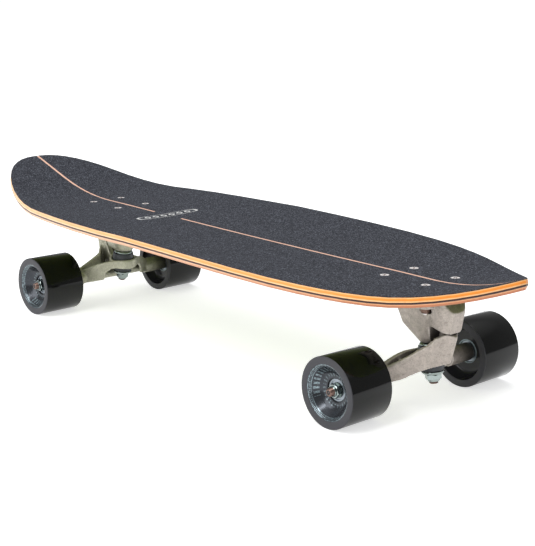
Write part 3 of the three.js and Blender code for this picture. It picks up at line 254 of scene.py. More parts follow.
def rounded(profile, radius):
    """A closed profile with its corners rounded by at most the radius."""
    result = []
    count = len(profile)
    for i, point in enumerate(profile):
        corner = Vector(point)
        before = Vector(profile[i - 1]) - corner
        after = Vector(profile[(i + 1) % count]) - corner
        if before.length < SAME_POINT or after.length < SAME_POINT:
            result.append(tuple(corner))
            continue
        cut = min(radius, before.length / CORNER_SHARE, after.length / CORNER_SHARE)
        start = corner + before.normalized() * cut
        end = corner + after.normalized() * cut
        for k in range(CORNER_STEPS + 1):
            t = k / CORNER_STEPS
            bend = start * (1 - t) ** 2 + corner * (2 * t * (1 - t)) + end * t ** 2
            result.append(tuple(bend))
    return result


def curve_through(points, steps):
    """A smooth line through (radius, height) points, with steps between each two."""
    result = []
    padded = [points[0], *points, points[-1]]
    for i in range(1, len(padded) - 2):
        a, b, c, d = (Vector(p) for p in padded[i - 1:i + 3])
        for k in range(steps):
            t = k / steps
            bend = b + (c - a) * (t / 2) + (a * 2 - b * 5 + c * 4 - d) * (t * t / 2)
            bend += (b * 3 - a - c * 3 + d) * (t ** 3 / 2)
            result.append(tuple(bend))
    result.append(tuple(points[-1]))
    return result


# Nuts: the turned face and the collar as shares of half the width over the flats
NUT_FACE = 0.97
COLLAR_FOOT = 0.86
COLLAR_SIDE = 0.84
COLLAR_TOP = 0.78
COLLAR_BEVEL = 0.5
NUT_CHAMFER_DEGREES = 28
NUT_SHARP_DEGREES = 28
HEX_TURN = math.pi / 3


def nut_outline(corner, half, height, bore, collar):
    """(radius, height) points round the nut's wall, where its side stands as far out as corner."""
    face = half * NUT_FACE
    drop = (corner - face) * math.tan(math.radians(NUT_CHAMFER_DEGREES))
    hex_top = height - collar
    return [
        (bore, 0.0),
        (face, 0.0),
        (corner, drop),
        (corner, hex_top - drop),
        (face, hex_top),
        (half * COLLAR_FOOT, hex_top),
        (half * COLLAR_SIDE, height - COLLAR_BEVEL),
        (half * COLLAR_TOP, height),
        (bore + COLLAR_BEVEL, height),
        (bore, height - COLLAR_BEVEL),
    ]


def hex_nut(name, flats, height, bore, collar, material):
    """A nut with turned corners and a round collar on top."""
    half = flats / 2
    columns = []
    for k in range(SMALL_ROUND):
        angle = 2 * math.pi * k / SMALL_ROUND
        within = (angle + HEX_TURN / 2) % HEX_TURN - HEX_TURN / 2
        outline = nut_outline(half / math.cos(within), half, height, bore, collar)
        columns.append([(r * math.cos(angle), r * math.sin(angle), z) for r, z in outline])
    rings = len(columns[0])
    vertices = [column[i] for i in range(rings) for column in columns]
    faces = ring_faces(rings, SMALL_ROUND, True)
    return new_piece(name, vertices, faces, material, NUT_SHARP_DEGREES)


# Threads: steps and depth per pitch, and the bevel at a rod's ends
THREAD_STEPS = 6
THREAD_DEPTH = 0.45
ROD_END_BEVEL = 0.7
ROD_END_STEP = 0.3
ROD_SHARP_DEGREES = 40


def rod_ring(z, radius, pitch):
    """One ring of a rod; on a thread its radius winds with the turn."""
    ring = []
    for k in range(SMALL_ROUND):
        angle = 2 * math.pi * k / SMALL_ROUND
        phase = (z / pitch - k / SMALL_ROUND) % 1 if pitch else 0
        depth = pitch * THREAD_DEPTH * abs(phase - 0.5) * 2 if pitch else 0
        r = radius - depth
        ring.append((r * math.cos(angle), r * math.sin(angle), z))
    return ring


def threaded_rod(name, sections, material):
    """A rod of (low, high, radius, pitch) sections along Z; a pitch of 0 leaves a section smooth."""
    rings = []
    for low, high, radius, pitch in sections:
        steps = 1 if pitch == 0 else max(2, round((high - low) / pitch * THREAD_STEPS))
        for i in range(steps + 1):
            rings.append((low + (high - low) * i / steps, radius, pitch))
    bottom, bottom_radius, _ = rings[0]
    top, top_radius, _ = rings[-1]
    vertices = rod_ring(bottom, 0, 0)
    vertices += rod_ring(bottom, bottom_radius - ROD_END_BEVEL - ROD_END_STEP, 0)
    for z, radius, pitch in rings:
        vertices += rod_ring(min(max(z, bottom + ROD_END_BEVEL), top - ROD_END_BEVEL), radius, pitch)
    vertices += rod_ring(top, top_radius - ROD_END_BEVEL - ROD_END_STEP, 0)
    vertices += rod_ring(top, 0, 0)
    faces = ring_faces(len(vertices) // SMALL_ROUND, SMALL_ROUND, False)
    return new_piece(name, vertices, faces, material, ROD_SHARP_DEGREES)


# Places


def shift(x, y, z):
    return Matrix.Translation(Vector((x, y, z)) * MM)


def turned(angle, axis="Z"):
    return Matrix.Rotation(angle, 4, axis)


FLIP = turned(math.pi, "X")


def place(piece, matrix, body, nodes=()):
    piece.matrix_world = matrix
    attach(piece, body)
    if nodes:
        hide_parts(*nodes)
    return piece


def kingpin_place(prefix, along):
    """On a kingpin's line, at a height over the middle of the bushing ring."""
    middle = Matrix.Translation(RING_MIDDLES[f"{prefix}_lean"])
    tilt = turned(-math.radians(KINGPIN_TILT_DEGREES), "Y")
    return middle @ turned(TRUCKS[prefix]["facing"]) @ tilt @ shift(0, 0, along)


def wheel_place(name, along=0.0):
    """In a wheel's middle, or at a distance outward along its axle; Z points outward."""
    middle, _ = frame_box(f"{name}_wheel")
    outward = math.copysign(1, middle.y)
    return shift(*middle) @ turned(-outward * math.pi / 2, "X") @ shift(0, 0, along)


# Deck surface


def kick_rise(distance, radius, degrees):
    """How far a kick has risen at a distance past the start of its bend."""
    slope = math.radians(degrees)
    bend = radius * math.sin(slope)
    if distance <= 0:
        return 0.0
    if distance < bend:
        return radius - math.sqrt(radius ** 2 - distance ** 2)
    return radius * (1 - math.cos(slope)) + (distance - bend) * math.tan(slope)


def deck_height(x, y):
    """Height of the riding surface."""
    ahead = x - WIDEST_X
    concave = NOSE_CONCAVE if ahead > 0 else TAIL_CONCAVE
    fade = min(abs(ahead) / concave["reach"], 1) ** concave["power"]
    depth = CONCAVE_DEPTH * (1 - fade) + concave["end_depth"] * fade
    middle = (WAIST_DIP_NOSE_END - WAIST_DIP_TAIL_END) / 2
    half = (WAIST_DIP_NOSE_END + WAIST_DIP_TAIL_END) / 2
    dip = WAIST_DIP * (1 - min(abs(x - middle) / half, 1) ** 2)
    nose = kick_rise(x - NOSE_BEND_START, NOSE_BEND_RADIUS, NOSE_KICK_DEGREES)
    tail = kick_rise(-x - TAIL_BEND_START, TAIL_BEND_RADIUS, TAIL_KICK_DEGREES)
    return DECK_TOP + depth * (y / DECK_HALF_WIDTH) ** 2 - dip + nose + tail


# Material helpers

# Factor and both colours among the inputs of a mix node, and its colour among the outputs
MIX_INPUTS = (0, 6, 7)
MIX_OUTPUT = 2


class Nodes:
    """Fills a node tree with short calls; a value is a number, a colour or another node's output."""

    def __init__(self, tree):
        self.tree = tree

    def feed(self, socket, value):
        if isinstance(value, bpy.types.NodeSocket):
            self.tree.links.new(value, socket)
        else:
            socket.default_value = value

    def add(self, kind, **inputs):
        node = self.tree.nodes.new(kind)
        for name, value in inputs.items():
            self.feed(node.inputs[name.replace("_", " ")], value)
        return node

    def join(self, kind, *inputs):
        """A node that is fed by the order of its inputs."""
        node = self.tree.nodes.new(kind)
        for socket, value in zip(node.inputs, inputs):
            self.feed(socket, value)
        return node.outputs[0]

    def math(self, operation, *values):
        result = self.join("ShaderNodeMath", *values)
        result.node.operation = operation
        return result

    def plus(self, first, second):
        return self.math("ADD", first, second)

    def times(self, first, *others):
        for other in others:
            first = self.math("MULTIPLY", first, other)
        return first

    def most(self, first, *others):
        for other in others:
            first = self.math("MAXIMUM", first, other)
        return first

    def size(self, value):
        return self.math("ABSOLUTE", value)

    def over(self, value, limit):
        return self.math("GREATER_THAN", value, limit)

    def under(self, value, limit):
        return self.math("LESS_THAN", value, limit)

    def band(self, value, low, high):
        """1 where the value lies between low and high, and 0 elsewhere."""
        return self.times(self.over(value, low), self.under(value, high))

    def between(self, value, low, high, at_low=0.0, at_high=1.0):
        """Goes from at_low to at_high while the value goes from low to high."""
        node = self.add("ShaderNodeMapRange", Value=value, From_Min=low, From_Max=high)
        self.feed(node.inputs["To Min"], at_low)
        self.feed(node.inputs["To Max"], at_high)
        return node.outputs["Result"]

    def position(self):
        return self.add("ShaderNodeTexCoord").outputs["Object"]

    def parts(self, vector):
        return tuple(self.add("ShaderNodeSeparateXYZ", Vector=vector).outputs)

    def stretched(self, vector, scale):
        return self.add("ShaderNodeMapping", Vector=vector, Scale=scale).outputs[0]

    def noise(self, vector, scale, detail=3.0, roughness=0.55):
        node = self.add("ShaderNodeTexNoise", Vector=vector, Scale=scale, Detail=detail)
        self.feed(node.inputs["Roughness"], roughness)
        return node.outputs["Fac"]

    def mix(self, factor, first, second):
        node = self.tree.nodes.new("ShaderNodeMix")
        node.data_type = "RGBA"
        for i, value in zip(MIX_INPUTS, (factor, first, second)):
            self.feed(node.inputs[i], value)
        return node.outputs[MIX_OUTPUT]

    def ramp(self, level, stops):
        """A colour that runs through (place, colour) stops."""
        node = self.add("ShaderNodeValToRGB", Fac=level)
        elements = node.color_ramp.elements
        while len(elements) < len(stops):
            elements.new(1.0)
        for element, (at, colour) in zip(elements, stops):
            element.position = at
            element.color = colour
        return node.outputs[0]


class Look(Nodes):
    """The nodes of one material, around its shader."""

    def __init__(self, name):
        self.material = bpy.data.materials.new(name)
        self.material.use_nodes = True
        super().__init__(self.material.node_tree)
        self.shader = self.tree.nodes["Principled BSDF"]

    def set(self, **inputs):
        for name, value in inputs.items():
            self.feed(self.shader.inputs[name.replace("_", " ")], value)

    def bump(self, height, strength, metres):
        node = self.add("ShaderNodeBump", Height=height, Strength=strength, Distance=metres)
        self.set(Normal=node.outputs[0])


# The curve between a screen's values and light
SRGB_TOE = 0.04045
SRGB_TOE_SLOPE = 12.92
SRGB_OFFSET = 0.055
SRGB_POWER = 2.4


def srgb(red, green, blue):
    """A colour as it shows on a screen, 0 to 255."""
    linear = []
    for value in (red, green, blue):
        share = value / 255
        curved = ((share + SRGB_OFFSET) / (1 + SRGB_OFFSET)) ** SRGB_POWER
        linear.append(share / SRGB_TOE_SLOPE if share <= SRGB_TOE else curved)
    return (*linear, 1.0)


def scaled(colour, factor):
    return tuple(min(1.0, c * factor) for c in colour[:3]) + (1.0,)


# Materials: texture scales are per metre. A fade holds its start, its end and the cover at both.

NOISE_RANGE = (0.3, 0.7)

# Grip
GRIP_PIT = srgb(25, 26, 30)
GRIP_GRIT = srgb(57, 59, 67)
GRIP_CLOUD = srgb(46, 47, 54)
GRIP_SPARK = srgb(176, 182, 196)
GRIP_GRAIN_SCALE = 1100.0
GRIP_COARSE_SCALE = 460
GRIP_CLOUD_SCALE = 14
GRIP_CLOUD_FADE = (*NOISE_RANGE, 0.0, 0.35)
GRIP_SPARK_FADE = (0.62, 1.0, 0.0, 0.25)
GRAIN_RELIEF = 0.5

# The bare badge: a lozenge outline around a row of plain rings. Lines run from share to share of its size.
BADGE_COLOUR = srgb(214, 214, 212)
BADGE_COVER = 0.9
BADGE_HALF_ALONG = 7.8
BADGE_HALF_ACROSS = 43.5
BADGE_CORNERS = {"along": 3.4, "across": 5.0}
BADGE_LINE = (0.66, 1.0)
RING_PITCH = 11.6
RING_SHAPE = {"across": 2.2, "along": 1.35}
RING_LINE = (0.4, 0.92)
RING_ROW_END = 0.76


def badge_marks(m, at):
    x, y, _ = m.parts(at)
    along = m.size(m.times(m.math("SUBTRACT", x, BADGE_X * MM), 1 / (BADGE_HALF_ALONG * MM)))
    across = m.size(m.times(y, 1 / (BADGE_HALF_ACROSS * MM)))
    lozenge = m.plus(
        m.math("POWER", along, BADGE_CORNERS["along"]),
        m.math("POWER", across, BADGE_CORNERS["across"]),
    )
    beat = m.size(m.math("SUBTRACT", m.math("FRACT", m.times(y, 1 / (RING_PITCH * MM))), 0.5))
    ring = m.plus(m.times(beat, RING_SHAPE["across"]), m.times(along, RING_SHAPE["along"]))
    row = m.times(m.band(ring, *RING_LINE), m.under(across, RING_ROW_END))
    return m.most(m.band(lozenge, *BADGE_LINE), row)


def grip_material():
    m = Look("grip_grit")
    at = m.position()
    grains = m.add("ShaderNodeTexVoronoi", Vector=at, Scale=GRIP_GRAIN_SCALE)
    fine = m.parts(grains.outputs["Color"])[0]
    coarse = m.noise(at, GRIP_COARSE_SCALE, detail=3, roughness=0.6)
    cloud = m.noise(at, GRIP_CLOUD_SCALE, detail=2, roughness=0.5)
    grit = m.mix(m.between(coarse, *NOISE_RANGE), GRIP_PIT, GRIP_GRIT)
    shaded = m.mix(m.between(cloud, *GRIP_CLOUD_FADE), grit, GRIP_CLOUD)
    speckled = m.mix(m.between(fine, *GRIP_SPARK_FADE), shaded, GRIP_SPARK)
    badge = m.times(badge_marks(m, at), BADGE_COVER)
    m.set(Base_Color=m.mix(badge, speckled, BADGE_COLOUR), Roughness=0.9, Specular_IOR_Level=0.25)
    m.bump(m.plus(m.times(fine, GRAIN_RELIEF), coarse), strength=0.35, metres=0.0003)
    return m.material


# Plies: tones that change from nose to tail, darkened a little towards the tail as painted shade, grain
# along the board, and a stained underside
NOSE_TONE_X = 330.0
TAIL_TONE_AND_SHADE_X = -260.0
GRAIN_STRETCH = (30, 420, 420)
GRAIN_FADE = (0.42, 0.7, 0.0, 0.3)
PLY_WANDER_SCALE = 60
PLY_WANDER = 0.06
UNDERSIDE_LEVEL = -0.8
STAIN_DARK = srgb(110, 126, 18)
STAIN_LIGHT = srgb(128, 144, 26)


def ply_material(name, stops, grain_colour):
    """Layers by depth under the riding surface; a stop is (depth, nose colour, tail colour)."""
    m = Look(name)
    depth = m.add("ShaderNodeAttribute")
    depth.attribute_name = "ply_depth"
    at = m.position()
    grain = m.noise(m.stretched(at, GRAIN_STRETCH), 1.0, detail=4, roughness=0.6)
    wander = m.between(m.noise(at, PLY_WANDER_SCALE, detail=2), *NOISE_RANGE, -PLY_WANDER, PLY_WANDER)
    level = m.times(m.plus(depth.outputs["Fac"], wander), 1 / DECK_DEPTH)
    nose, tail = (m.ramp(level, [(stop[0] / DECK_DEPTH, stop[end]) for stop in stops]) for end in (1, 2))
    # The tail colours hold painted shade as well as the wood's tone
    tone_and_shade = m.mix(m.between(m.parts(at)[0], NOSE_TONE_X * MM, TAIL_TONE_AND_SHADE_X * MM), nose, tail)
    edge = m.mix(m.between(grain, *GRAIN_FADE), tone_and_shade, grain_colour)
    upright = m.parts(m.add("ShaderNodeNewGeometry").outputs["Normal"])[2]
    stained = m.mix(grain, STAIN_DARK, STAIN_LIGHT)
    m.set(Base_Color=m.mix(m.under(upright, UNDERSIDE_LEVEL), edge, stained))
    m.set(Roughness=0.42, Specular_IOR_Level=0.45)
    m.bump(grain, strength=0.15, metres=0.0002)
    return m.material


# Veneer of the pin line
PIN_LINE_STRETCH = (60, 700, 700)
PIN_LINE_DARK = srgb(228, 172, 146)
PIN_LINE_LIGHT = srgb(248, 206, 182)


def pin_line_material():
    m = Look("pin_line_veneer")
    grain = m.noise(m.stretched(m.position(), PIN_LINE_STRETCH), 1.0, detail=3, roughness=0.6)
    m.set(Base_Color=m.mix(grain, PIN_LINE_DARK, PIN_LINE_LIGHT), Roughness=0.5, Specular_IOR_Level=0.4)
    m.bump(grain, strength=0.1, metres=0.0001)
    return m.material


# Plain metals
METAL_SMUDGE_SCALE = 260.0
METAL_WEAR = 0.12
METAL_ROUGHNESS_SPREAD = (0.8, 1.25)


def metal_material(name, colour, roughness, metallic=1.0):
    m = Look(name)
    smudge = m.noise(m.position(), METAL_SMUDGE_SCALE, detail=4, roughness=0.6)
    low, high = (roughness * share for share in METAL_ROUGHNESS_SPREAD)
    m.set(
        Base_Color=m.mix(smudge, scaled(colour, 1 - METAL_WEAR), scaled(colour, 1 + METAL_WEAR)),
        Metallic=metallic,
        Roughness=m.between(smudge, *NOISE_RANGE, low, high),
    )
    m.bump(smudge, strength=0.08, metres=0.0001)
    return m.material


# Cast alloy: sandy skin with pits and specks, painted shade in corners and creases, and bright edges that
# are partly wear and partly painted highlight
CAST_GRIT_SCALE = 1100
CAST_SAND_SCALE = 560
CAST_BLOTCH_SCALE = 150
CAST_STAIN_SCALE = 24
CAST_BLOTCH_RANGE = (0.2, 0.7)
CAST_STAIN_FADE = (0.45, 0.75, 0.0, 0.3)
CAST_PIT_FADE = (0.3, 0.5, 0.34, 0.0)
CAST_SPECK_FADE = (0.56, 0.72, 0.0, 0.5)
CAST_CREASE_SHADE_FADE = (0.43, 0.485, 0.55, 0.0)
# Painted shade: darker colour in creases, by pointiness, and where ambient occlusion finds little open sky
CAST_AO_SHADE_FADE = (0.25, 0.8, 0.82, 0.0)
CAST_WEAR_AND_HIGHLIGHT_FADE = (0.515, 0.57, 0.0, 0.7)
CAST_SHADE_METRES = 0.02
CAST_PIT = srgb(88, 80, 73)
CAST_SPECK = srgb(244, 240, 232)
CAST_PAINTED_SHADE = srgb(60, 56, 50)
CAST_WEAR_AND_HIGHLIGHT = srgb(238, 233, 224)
CAST_METALLIC = 0.55
CAST_ROUGHNESS = (0.36, 0.56)
CAST_GRIT_RELIEF = 0.6


def cast_material(name, colour, shade_colour):
    m = Look(name)
    at = m.position()
    grit = m.noise(at, CAST_GRIT_SCALE, detail=3, roughness=0.7)
    sand = m.noise(at, CAST_SAND_SCALE, detail=3, roughness=0.6)
    blotch = m.noise(at, CAST_BLOTCH_SCALE, detail=4, roughness=0.6)
    stain = m.noise(at, CAST_STAIN_SCALE, detail=3, roughness=0.5)
    edge = m.add("ShaderNodeNewGeometry").outputs["Pointiness"]
    open_sky = m.add("ShaderNodeAmbientOcclusion", Distance=CAST_SHADE_METRES).outputs["AO"]
    # Painted shade: the casting is darkened in creases and in occluded corners
    painted_shade = m.most(m.between(edge, *CAST_CREASE_SHADE_FADE), m.between(open_sky, *CAST_AO_SHADE_FADE))
    skin = m.mix(m.between(blotch, *CAST_BLOTCH_RANGE), shade_colour, colour)
    for cover, tint in (
        (m.between(stain, *CAST_STAIN_FADE), shade_colour),
        (m.between(sand, *CAST_PIT_FADE), CAST_PIT),
        (m.between(grit, *CAST_SPECK_FADE), CAST_SPECK),
        (painted_shade, CAST_PAINTED_SHADE),
        # Bright colour on sharp outer edges: partly wear, partly painted highlight
        (m.between(edge, *CAST_WEAR_AND_HIGHLIGHT_FADE), CAST_WEAR_AND_HIGHLIGHT),
    ):
        skin = m.mix(cover, skin, tint)
    roughness = m.between(grit, *NOISE_RANGE, *CAST_ROUGHNESS)
    m.set(Base_Color=skin, Metallic=CAST_METALLIC, Roughness=roughness)
    m.bump(m.plus(m.times(grit, CAST_GRIT_RELIEF), sand), strength=0.5, metres=0.0005)
    return m.material


# Wheel zones: the printed bowl, the flat faces, the cavity on the inner side in a lighter grey as painted
# light, and a light ring round the bearing there as a painted highlight
BOWL_EDGE = 27.2
CAVITY_EDGE = 27.4
FACE_HEIGHT = 24.9
CORE_HALF = 6.0
# A light ring round the bearing on the inner face, a painted highlight in the print colour
HUB_GLINT_START = 12.0
HUB_GLINT_RING = (11.1, 12.5)
HUB_GLINT_COVER = 0.85
RUBBER_DARK = srgb(10, 11, 10)
RUBBER_LIGHT = srgb(16, 17, 17)
BOWL_INK = srgb(70, 73, 78)
CAVITY_PAINTED_LIGHT_GREY = srgb(42, 42, 45)
FACE_GREY = srgb(62, 62, 66)
PRINT_COLOUR = srgb(150, 168, 174)
WHEEL_SMUDGE_SCALE = 180
WHEEL_INK_SPREAD = (0.75, 1.0)
WHEEL_INK_METALLIC = 0.75
WHEEL_ROUGHNESS = (0.07, 0.12)
WHEEL_INK_ROUGHNESS = 0.24
WHEEL_FACE_ROUGHNESS = 0.45
WHEEL_STREAK_STRETCH = (60, 60, 1400)

# Wheel print: rings by radius, marks by their number in a turn and the share of a pitch that each fills
RIM_LINE = (26.3, 27.2)
INNER_LINE = (24.0, 24.5)
BEADS = {"ring": (24.7, 25.8), "number": 90, "share": 0.5}
BARS = {"ring": (19.4, 23.2), "number": 30, "share": 0.5}
RAYS = {"ring": (13.6, 16.8), "number": 26, "share": 0.4}
BAR_ARC_TURN = 0.83
BAR_ARC_SHARE = 0.4
PRINT_WEAR_SCALE = 700
PRINT_WEAR_RANGE = (0.36, 0.56)
PRINT_COVER = 0.8
RAY_COVER = 0.4


def in_ring(m, radius, ring):
    low, high = ring
    return m.band(radius, low * MM, high * MM)


def wheel_print(m, at, radius, turn):
    """Plain rings, beads, an arc of bars and soft rays, worn in places."""

    def marks(kind):
        ticks = m.under(m.math("FRACT", m.times(turn, kind["number"])), kind["share"])
        return m.times(in_ring(m, radius, kind["ring"]), ticks)

    arc = m.under(m.math("FRACT", m.plus(turn, BAR_ARC_TURN)), BAR_ARC_SHARE)
    worn = m.between(m.noise(at, PRINT_WEAR_SCALE), *PRINT_WEAR_RANGE)
    rings = m.most(in_ring(m, radius, RIM_LINE), in_ring(m, radius, INNER_LINE))
    crisp = m.most(rings, marks(BEADS), m.times(marks(BARS), arc))
    return m.most(m.times(crisp, m.times(worn, PRINT_COVER)), m.times(marks(RAYS), worn, RAY_COVER))


def wheel_material():
    m = Look("wheel_urethane")
    at = m.position()
    x, y, z = m.parts(at)
    radius = m.math("SQRT", m.plus(m.times(x, x), m.times(y, y)))
    turn = m.times(m.math("ARCTAN2", y, x), 1 / (2 * math.pi))
    outer = m.over(z, CORE_HALF * MM)
    smudge = m.noise(at, WHEEL_SMUDGE_SCALE)
    inked = m.between(smudge, *NOISE_RANGE, *WHEEL_INK_SPREAD)
    bowl = m.times(m.under(radius, BOWL_EDGE * MM), inked, outer)
    # The cavity is a lighter grey than the rubber: painted light in the inner recess
    cavity = m.times(m.under(radius, CAVITY_EDGE * MM), m.under(z, -CORE_HALF * MM))
    faces = m.times(m.over(radius, BOWL_EDGE * MM), m.over(m.size(z), FACE_HEIGHT * MM))
    # Painted highlight: a light ring round the bearing on the inner face, mixed in with the print
    hub_glint = m.times(in_ring(m, radius, HUB_GLINT_RING), m.under(z, -HUB_GLINT_START * MM), HUB_GLINT_COVER)
    print_and_hub_glint = m.most(m.times(wheel_print(m, at, radius, turn), outer), hub_glint)
    skin = m.mix(smudge, RUBBER_DARK, RUBBER_LIGHT)
    for cover, tint in (
        (bowl, BOWL_INK), (cavity, CAVITY_PAINTED_LIGHT_GREY), (faces, FACE_GREY), (print_and_hub_glint, PRINT_COLOUR),
    ):
        skin = m.mix(cover, skin, tint)
    roughness = m.most(
        m.between(smudge, *NOISE_RANGE, *WHEEL_ROUGHNESS),
        m.times(bowl, WHEEL_INK_ROUGHNESS),
        m.times(faces, WHEEL_FACE_ROUGHNESS),
    )
    m.set(Base_Color=skin, Metallic=m.times(bowl, WHEEL_INK_METALLIC), Roughness=roughness)
    m.set(Specular_IOR_Level=0.27)
    m.bump(m.noise(m.stretched(at, WHEEL_STREAK_STRETCH), 1.0, detail=2), strength=0.03, metres=0.0001)
    return m.material


# Rubber and plain urethane
RUBBER_MOTTLE_SCALE = 300.0
RUBBER_MOTTLE = 1.35
RUBBER_ROUGHNESS_SPREAD = (0.85, 1.15)


def rubber_material(name, colour, roughness):
    m = Look(name)
    mottle = m.noise(m.position(), RUBBER_MOTTLE_SCALE)
    low, high = (roughness * share for share in RUBBER_ROUGHNESS_SPREAD)
    m.set(
        Base_Color=m.mix(mottle, colour, scaled(colour, RUBBER_MOTTLE)),
        Roughness=m.between(mottle, *NOISE_RANGE, low, high),
    )
    m.bump(mottle, strength=0.12, metres=0.0002)
    return m.material


MATERIALS = {
    "grip": grip_material(),
    # The tail colours of these stops are darkened a little as painted shade
    "upper": ply_material("plies_amber", [
        (0.0, srgb(244, 170, 104), srgb(244, 194, 150)),
        (1.5, srgb(255, 196, 128), srgb(250, 210, 166)),
        (2.2, srgb(252, 152, 52), srgb(250, 200, 148)),
        (4.0, srgb(248, 148, 54), srgb(250, 198, 148)),
        (4.5, srgb(255, 198, 132), srgb(252, 220, 182)),
        (5.1, srgb(255, 206, 150), srgb(252, 222, 188)),
        (5.5, srgb(200, 140, 98), srgb(218, 178, 150)),
    ], srgb(214, 124, 56)),
    "dark": ply_material("ply_dark", [
        (0.0, srgb(58, 34, 30), srgb(80, 58, 50)),
        (6.0, srgb(40, 22, 20), srgb(66, 46, 40)),
        (8.0, srgb(48, 28, 26), srgb(72, 52, 46)),
    ], srgb(30, 18, 16)),
    "lower": ply_material("plies_rose", [
        (6.6, srgb(46, 26, 24), srgb(72, 52, 46)),
        (7.25, srgb(50, 30, 26), srgb(80, 60, 52)),
        (7.6, srgb(244, 186, 146), srgb(246, 210, 184)),
        (8.4, srgb(246, 172, 120), srgb(250, 220, 188)),
        (8.9, srgb(212, 132, 92), srgb(248, 208, 176)),
        (10.2, srgb(208, 138, 102), srgb(244, 204, 172)),
        (10.9, srgb(190, 124, 92), srgb(230, 194, 166)),
    ], srgb(190, 120, 86)),
    "pin_line": pin_line_material(),
    "cast_front": cast_material("cast_alloy", srgb(202, 191, 183), srgb(158, 148, 140)),
    "cast_rear": cast_material("cast_alloy_green", srgb(208, 206, 188), srgb(166, 164, 144)),
    "zinc": metal_material("zinc_plate", srgb(150, 160, 158), roughness=0.14),
    # The locknuts are darker and browner than the other steel: partly rust, partly painted shade of the
    # pockets they sit in
    "locknut": metal_material("locknut_rust_and_shade", srgb(112, 90, 80), roughness=0.36, metallic=0.9),
    "steel": metal_material("screw_steel", srgb(244, 238, 236), roughness=0.5, metallic=0.55),
    "bearing": metal_material("bearing_steel", srgb(150, 158, 166), roughness=0.34),
    # The recess material is dark brown: painted shade inside the screws' cross recess
    "recess": metal_material("screw_recess_painted_shade", srgb(96, 62, 52), roughness=0.55, metallic=0.5),
    "axle": metal_material("axle_steel", srgb(122, 99, 90), roughness=0.36, metallic=0.85),
    "bushing": rubber_material("bushing_urethane", srgb(50, 53, 58), roughness=0.4),
    "cup": rubber_material("cup_rubber", srgb(26, 26, 28), roughness=0.6),
    "riser": rubber_material("riser_rubber", srgb(20, 20, 22), roughness=0.75),
    "wheel": wheel_material(),
}


# Solids that stay: the deck's layers, the castings, riser pads and pivot cups

NODE_SHARP_DEGREES = 30
PLY_SHARP_DEGREES = 34
GRIP_SHARP_DEGREES = 40
NEVER_SHARP_DEGREES = 180
CAST_VOXEL_METRES = 0.0008
CAST_SMOOTHING = 9
CAST_SOFTNESS = 0.5


def dress_node(name, material, sharp_degrees=NODE_SHARP_DEGREES):
    node = frame["nodes"][name]
    node.data.materials.clear()
    node.data.materials.append(material)
    shade(node.data, sharp_degrees)
    return node


def dress_layer(name, material):
    mesh = dress_node(name, material, PLY_SHARP_DEGREES).data
    layer = mesh.attributes.new("ply_depth", "FLOAT", "POINT")
    for i, vertex in enumerate(mesh.vertices):
        x, y, z = (c / MM for c in vertex.co)
        layer.data[i].value = deck_height(x, y) - z


def dress_casting(name, material):
    """Rounds a casting's edges by a voxel skin and some smoothing."""
    node = dress_node(name, material, NEVER_SHARP_DEGREES)
    remesh = node.modifiers.new("one_skin", "REMESH")
    remesh.mode = "VOXEL"
    remesh.voxel_size = CAST_VOXEL_METRES
    remesh.use_smooth_shade = True
    soften = node.modifiers.new("cast_rounding", "SMOOTH")
    soften.factor = CAST_SOFTNESS
    soften.iterations = CAST_SMOOTHING


def dress_deck():
    dress_node("grip_tape", MATERIALS["grip"], GRIP_SHARP_DEGREES)
    dress_layer("deck_upper_plies", MATERIALS["upper"])
    dress_layer("deck_dark_ply", MATERIALS["dark"])
    dress_layer("deck_lower_plies", MATERIALS["lower"])
    for name, (start, end) in PIN_LINES.items():
        add_pin_line(name, start, end)


def add_pin_line(name, start, end):
    """A thin veneer strip that fills the gap in the grip up to just under its surface."""
    section = [
        (-PIN_LINE_HALF_WIDTH, PIN_LINE_FLOOR), (-PIN_LINE_HALF_WIDTH, PIN_LINE_DEPTH),
        (PIN_LINE_HALF_WIDTH, PIN_LINE_DEPTH), (PIN_LINE_HALF_WIDTH, PIN_LINE_FLOOR),
    ]
    steps = round((end - start) / PIN_LINE_STEP)
    vertices = []
    for i in range(steps + 1):
        x = start + (end - start) * i / steps
        vertices += [(x, y, deck_height(x, y) - depth) for y, depth in section]
    faces = ring_faces(steps + 1, len(section), False)
    faces.append((0, 1, 2, 3))
    faces.append(tuple(len(section) * steps + k for k in (3, 2, 1, 0)))
    strip = new_piece(f"{name}_pin_line", vertices, faces, MATERIALS["pin_line"])
    place(strip, Matrix.Identity(4), "board")


def dress_castings():
    for prefix in TRUCKS:
        for part in ("baseplate", "hanger"):
            dress_casting(f"{prefix}_{part}", MATERIALS[f"cast_{prefix}"])
        dress_node(f"{prefix}_riser_pad", MATERIALS["riser"])
        dress_node(f"{prefix}_pivot_cup", MATERIALS["cup"])


# Deck screws and nuts

# The rim of a screw's head is (outward from the head's radius, height) points.
SCREW_END_BEVEL = 0.3
SCREW_END_RISE = 0.4
SCREW_RIM = [(-0.15, -0.35), (0.0, -0.2), (-0.25, -0.02)]
SCREW_SHARP_DEGREES = 30
SCREW_TURN = 0.7
RECESS_TOP = {"z": 0.4, "arm": 2.8, "half_width": 0.72}
RECESS_TIP = {"z": -2.0, "arm": 0.8, "half_width": 0.4}
RECESS_SHARP_DEGREES = 20
LOCKNUT_COLLAR = 1.4
BLOCK_FACES = [(0, 1, 2, 3), (4, 5, 6, 7), (0, 1, 5, 4), (1, 2, 6, 5), (2, 3, 7, 6), (3, 0, 4, 7)]


